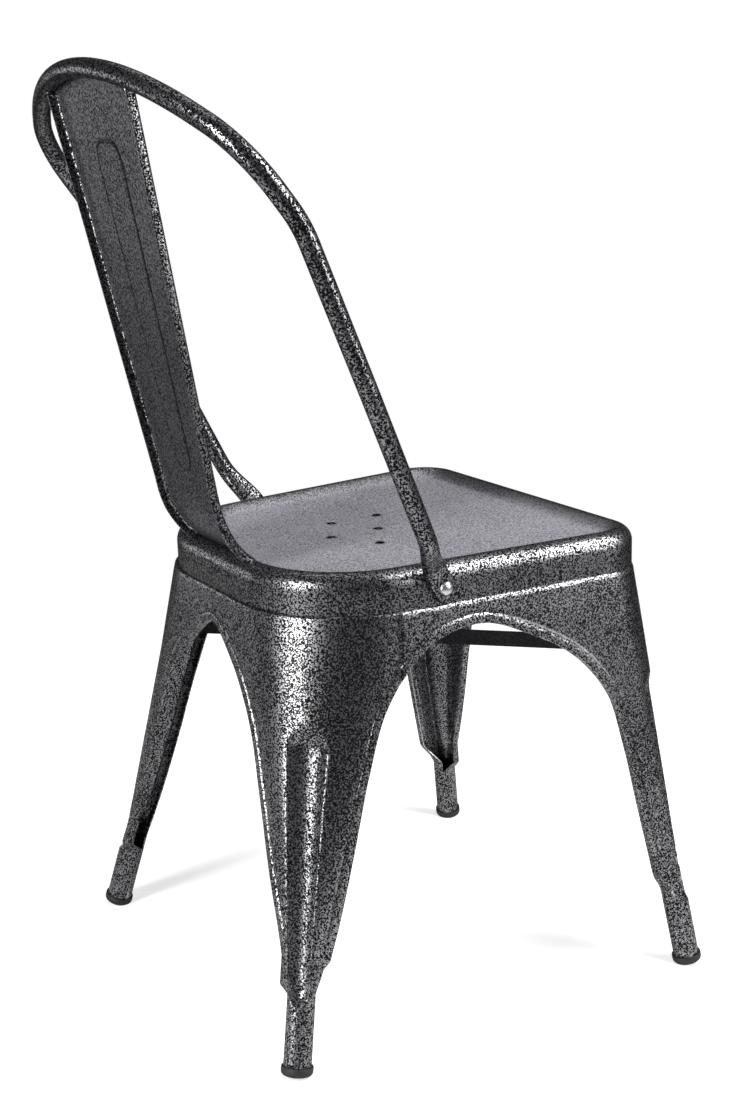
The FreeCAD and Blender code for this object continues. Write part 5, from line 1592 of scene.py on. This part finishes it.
for name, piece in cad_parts.items():
    paint = SHADED_BRACE_PAINT if name.startswith("cross_brace") else FRAME_PAINT
    piece.data.materials.clear()
    piece.data.materials.append(LIT_RIVET_PAINT if "splat_foot" in name else paint)
    if name.startswith("cross_brace") or "weld" in name:
        rounding = piece.modifiers.new("rounding", "BEVEL")
        rounding.width = KEPT_ROUND * MM
        rounding.segments = 2
        rounding.limit_method = "ANGLE"
        rounding.angle_limit = KEPT_SHARP
        print(name, "stays")

# %% [markdown]
# The photograph is a studio shot on white. Five soft lamps stand round the chair. A narrow, tall one
# behind it, on the camera's left, draws the bright lines on the hoop and on the near leg's ridges.
# A broad one on the camera's right lights the chair's side, and one higher up there the seat and its
# rim. A weak one fills in low down from the far side, and a weak wide one hangs over everything,
# as a white ceiling does. Their places and sizes are in metres and their power in watts.

# %% Lamps
def area_lamp(name, place, aim, size, power):
    data = bpy.data.lights.new(name, "AREA")
    data.shape = "RECTANGLE"
    data.size, data.size_y = size
    data.energy = power
    lamp = add_object(name, data)
    place = Vector(place)
    turn = (Vector(aim) - place).to_track_quat("-Z", "Y")
    lamp.visible_camera = False
    lamp.matrix_world = Matrix.Translation(place) @ turn.to_matrix().to_4x4()


area_lamp("key lamp", (-0.42, 1.95, 0.92), (0, 0.05, 0.4), (0.36, 1.45), 50.0)
area_lamp("side lamp", (-1.45, -1.0, 1.2), (0, 0, 0.4), (0.8, 1.7), 34.0)
area_lamp("left lamp", (2.0, 1.5, 0.35), (0, 0, 0.4), (1.2, 1.2), 9.0)
area_lamp("top lamp", (-1.0, -0.95, 1.95), (0, 0, 0.4), (1.0, 1.0), 38.0)
area_lamp("sky lamp", (0.5, -0.3, 2.5), (0, 0, 0.4), (1.8, 1.8), 9.0)
print("Lamps:", [lamp.name for lamp in bpy.data.lights])

# %% [markdown]
# The floor is pale and keeps the chair's shadow near its feet. Further out it fades to a white that
# only the camera sees, so that it ends in the backdrop without a line.

# %% The floor
FLOOR_HALF = 8.0
FADE_STARTS = 0.5
FADE_ENDS = 1.7
NEAR_GLOW = 0.55

floor_mesh = bmesh.new()
bmesh.ops.create_grid(floor_mesh, x_segments=1, y_segments=1, size=FLOOR_HALF)
floor_data = bpy.data.meshes.new("floor")
floor_mesh.to_mesh(floor_data)
floor_mesh.free()
floor = add_object("floor", floor_data)
floor_paint, floor_tree, floor_shader = new_material("Pale floor")
floor_place = node(floor_tree, "ShaderNodeTexCoord", (-1300, 0)).outputs["Object"]
floor_reach = node(
    floor_tree, "ShaderNodeVectorMath", (-1100, 0), {0: floor_place}, operation="LENGTH")
floor_fade = node(floor_tree, "ShaderNodeMapRange", (-900, 0), {
    "Value": floor_reach.outputs["Value"], "From Min": FADE_STARTS, "From Max": FADE_ENDS},
    interpolation_type="SMOOTHSTEP").outputs["Result"]
floor_colour = node(floor_tree, "ShaderNodeMix", (-600, 200), {
    "Factor": floor_fade, "A": (0.75, 0.75, 0.75, 1), "B": (0, 0, 0, 1)}, data_type="RGBA")
floor_glow = node(floor_tree, "ShaderNodeMapRange", (-600, -100), {
    "Value": floor_fade, "To Min": NEAR_GLOW, "To Max": 1.0}).outputs["Result"]
floor_rays = node(floor_tree, "ShaderNodeLightPath", (-900, -350)).outputs["Is Camera Ray"]
floor_seen = node(floor_tree, "ShaderNodeMath", (-350, -200), {
    0: floor_glow, 1: floor_rays}, operation="MULTIPLY")
fill_inputs(floor_shader, {
    "Base Color": floor_colour.outputs["Result"], "Roughness": 0.9, "Specular IOR Level": 0.0,
    "Emission Color": (1, 1, 1, 1), "Emission Strength": floor_seen.outputs[0]})
floor_data.materials.append(floor_paint)
print("Floor fades from", FADE_STARTS, "to", FADE_ENDS, "m")

# %% [markdown]
# The backdrop is a plain white world that the camera sees. On the chair it shines only weakly, in
# reflections too, so that the lamps shape the paint.

# %% Backdrop
WORLD_LIGHT = 0.06

world = bpy.data.worlds.new("studio")
bpy.context.scene.world = world
world.use_nodes = True
sky = world.node_tree
rays = node(sky, "ShaderNodeLightPath", (-700, 0)).outputs
seen = node(sky, "ShaderNodeMath", (-450, 0), {
    0: rays["Is Camera Ray"], 1: rays["Is Transmission Ray"]}, operation="ADD")
strength = node(sky, "ShaderNodeMapRange", (-220, 0), {
    "Value": seen.outputs[0], "To Min": WORLD_LIGHT, "To Max": 1.0})
fill_inputs(sky.nodes["Background"], {
    "Color": (1, 1, 1, 1), "Strength": strength.outputs["Result"]})
bpy.context.scene.view_settings.view_transform = "Standard"
print("Backdrop:", world.name)
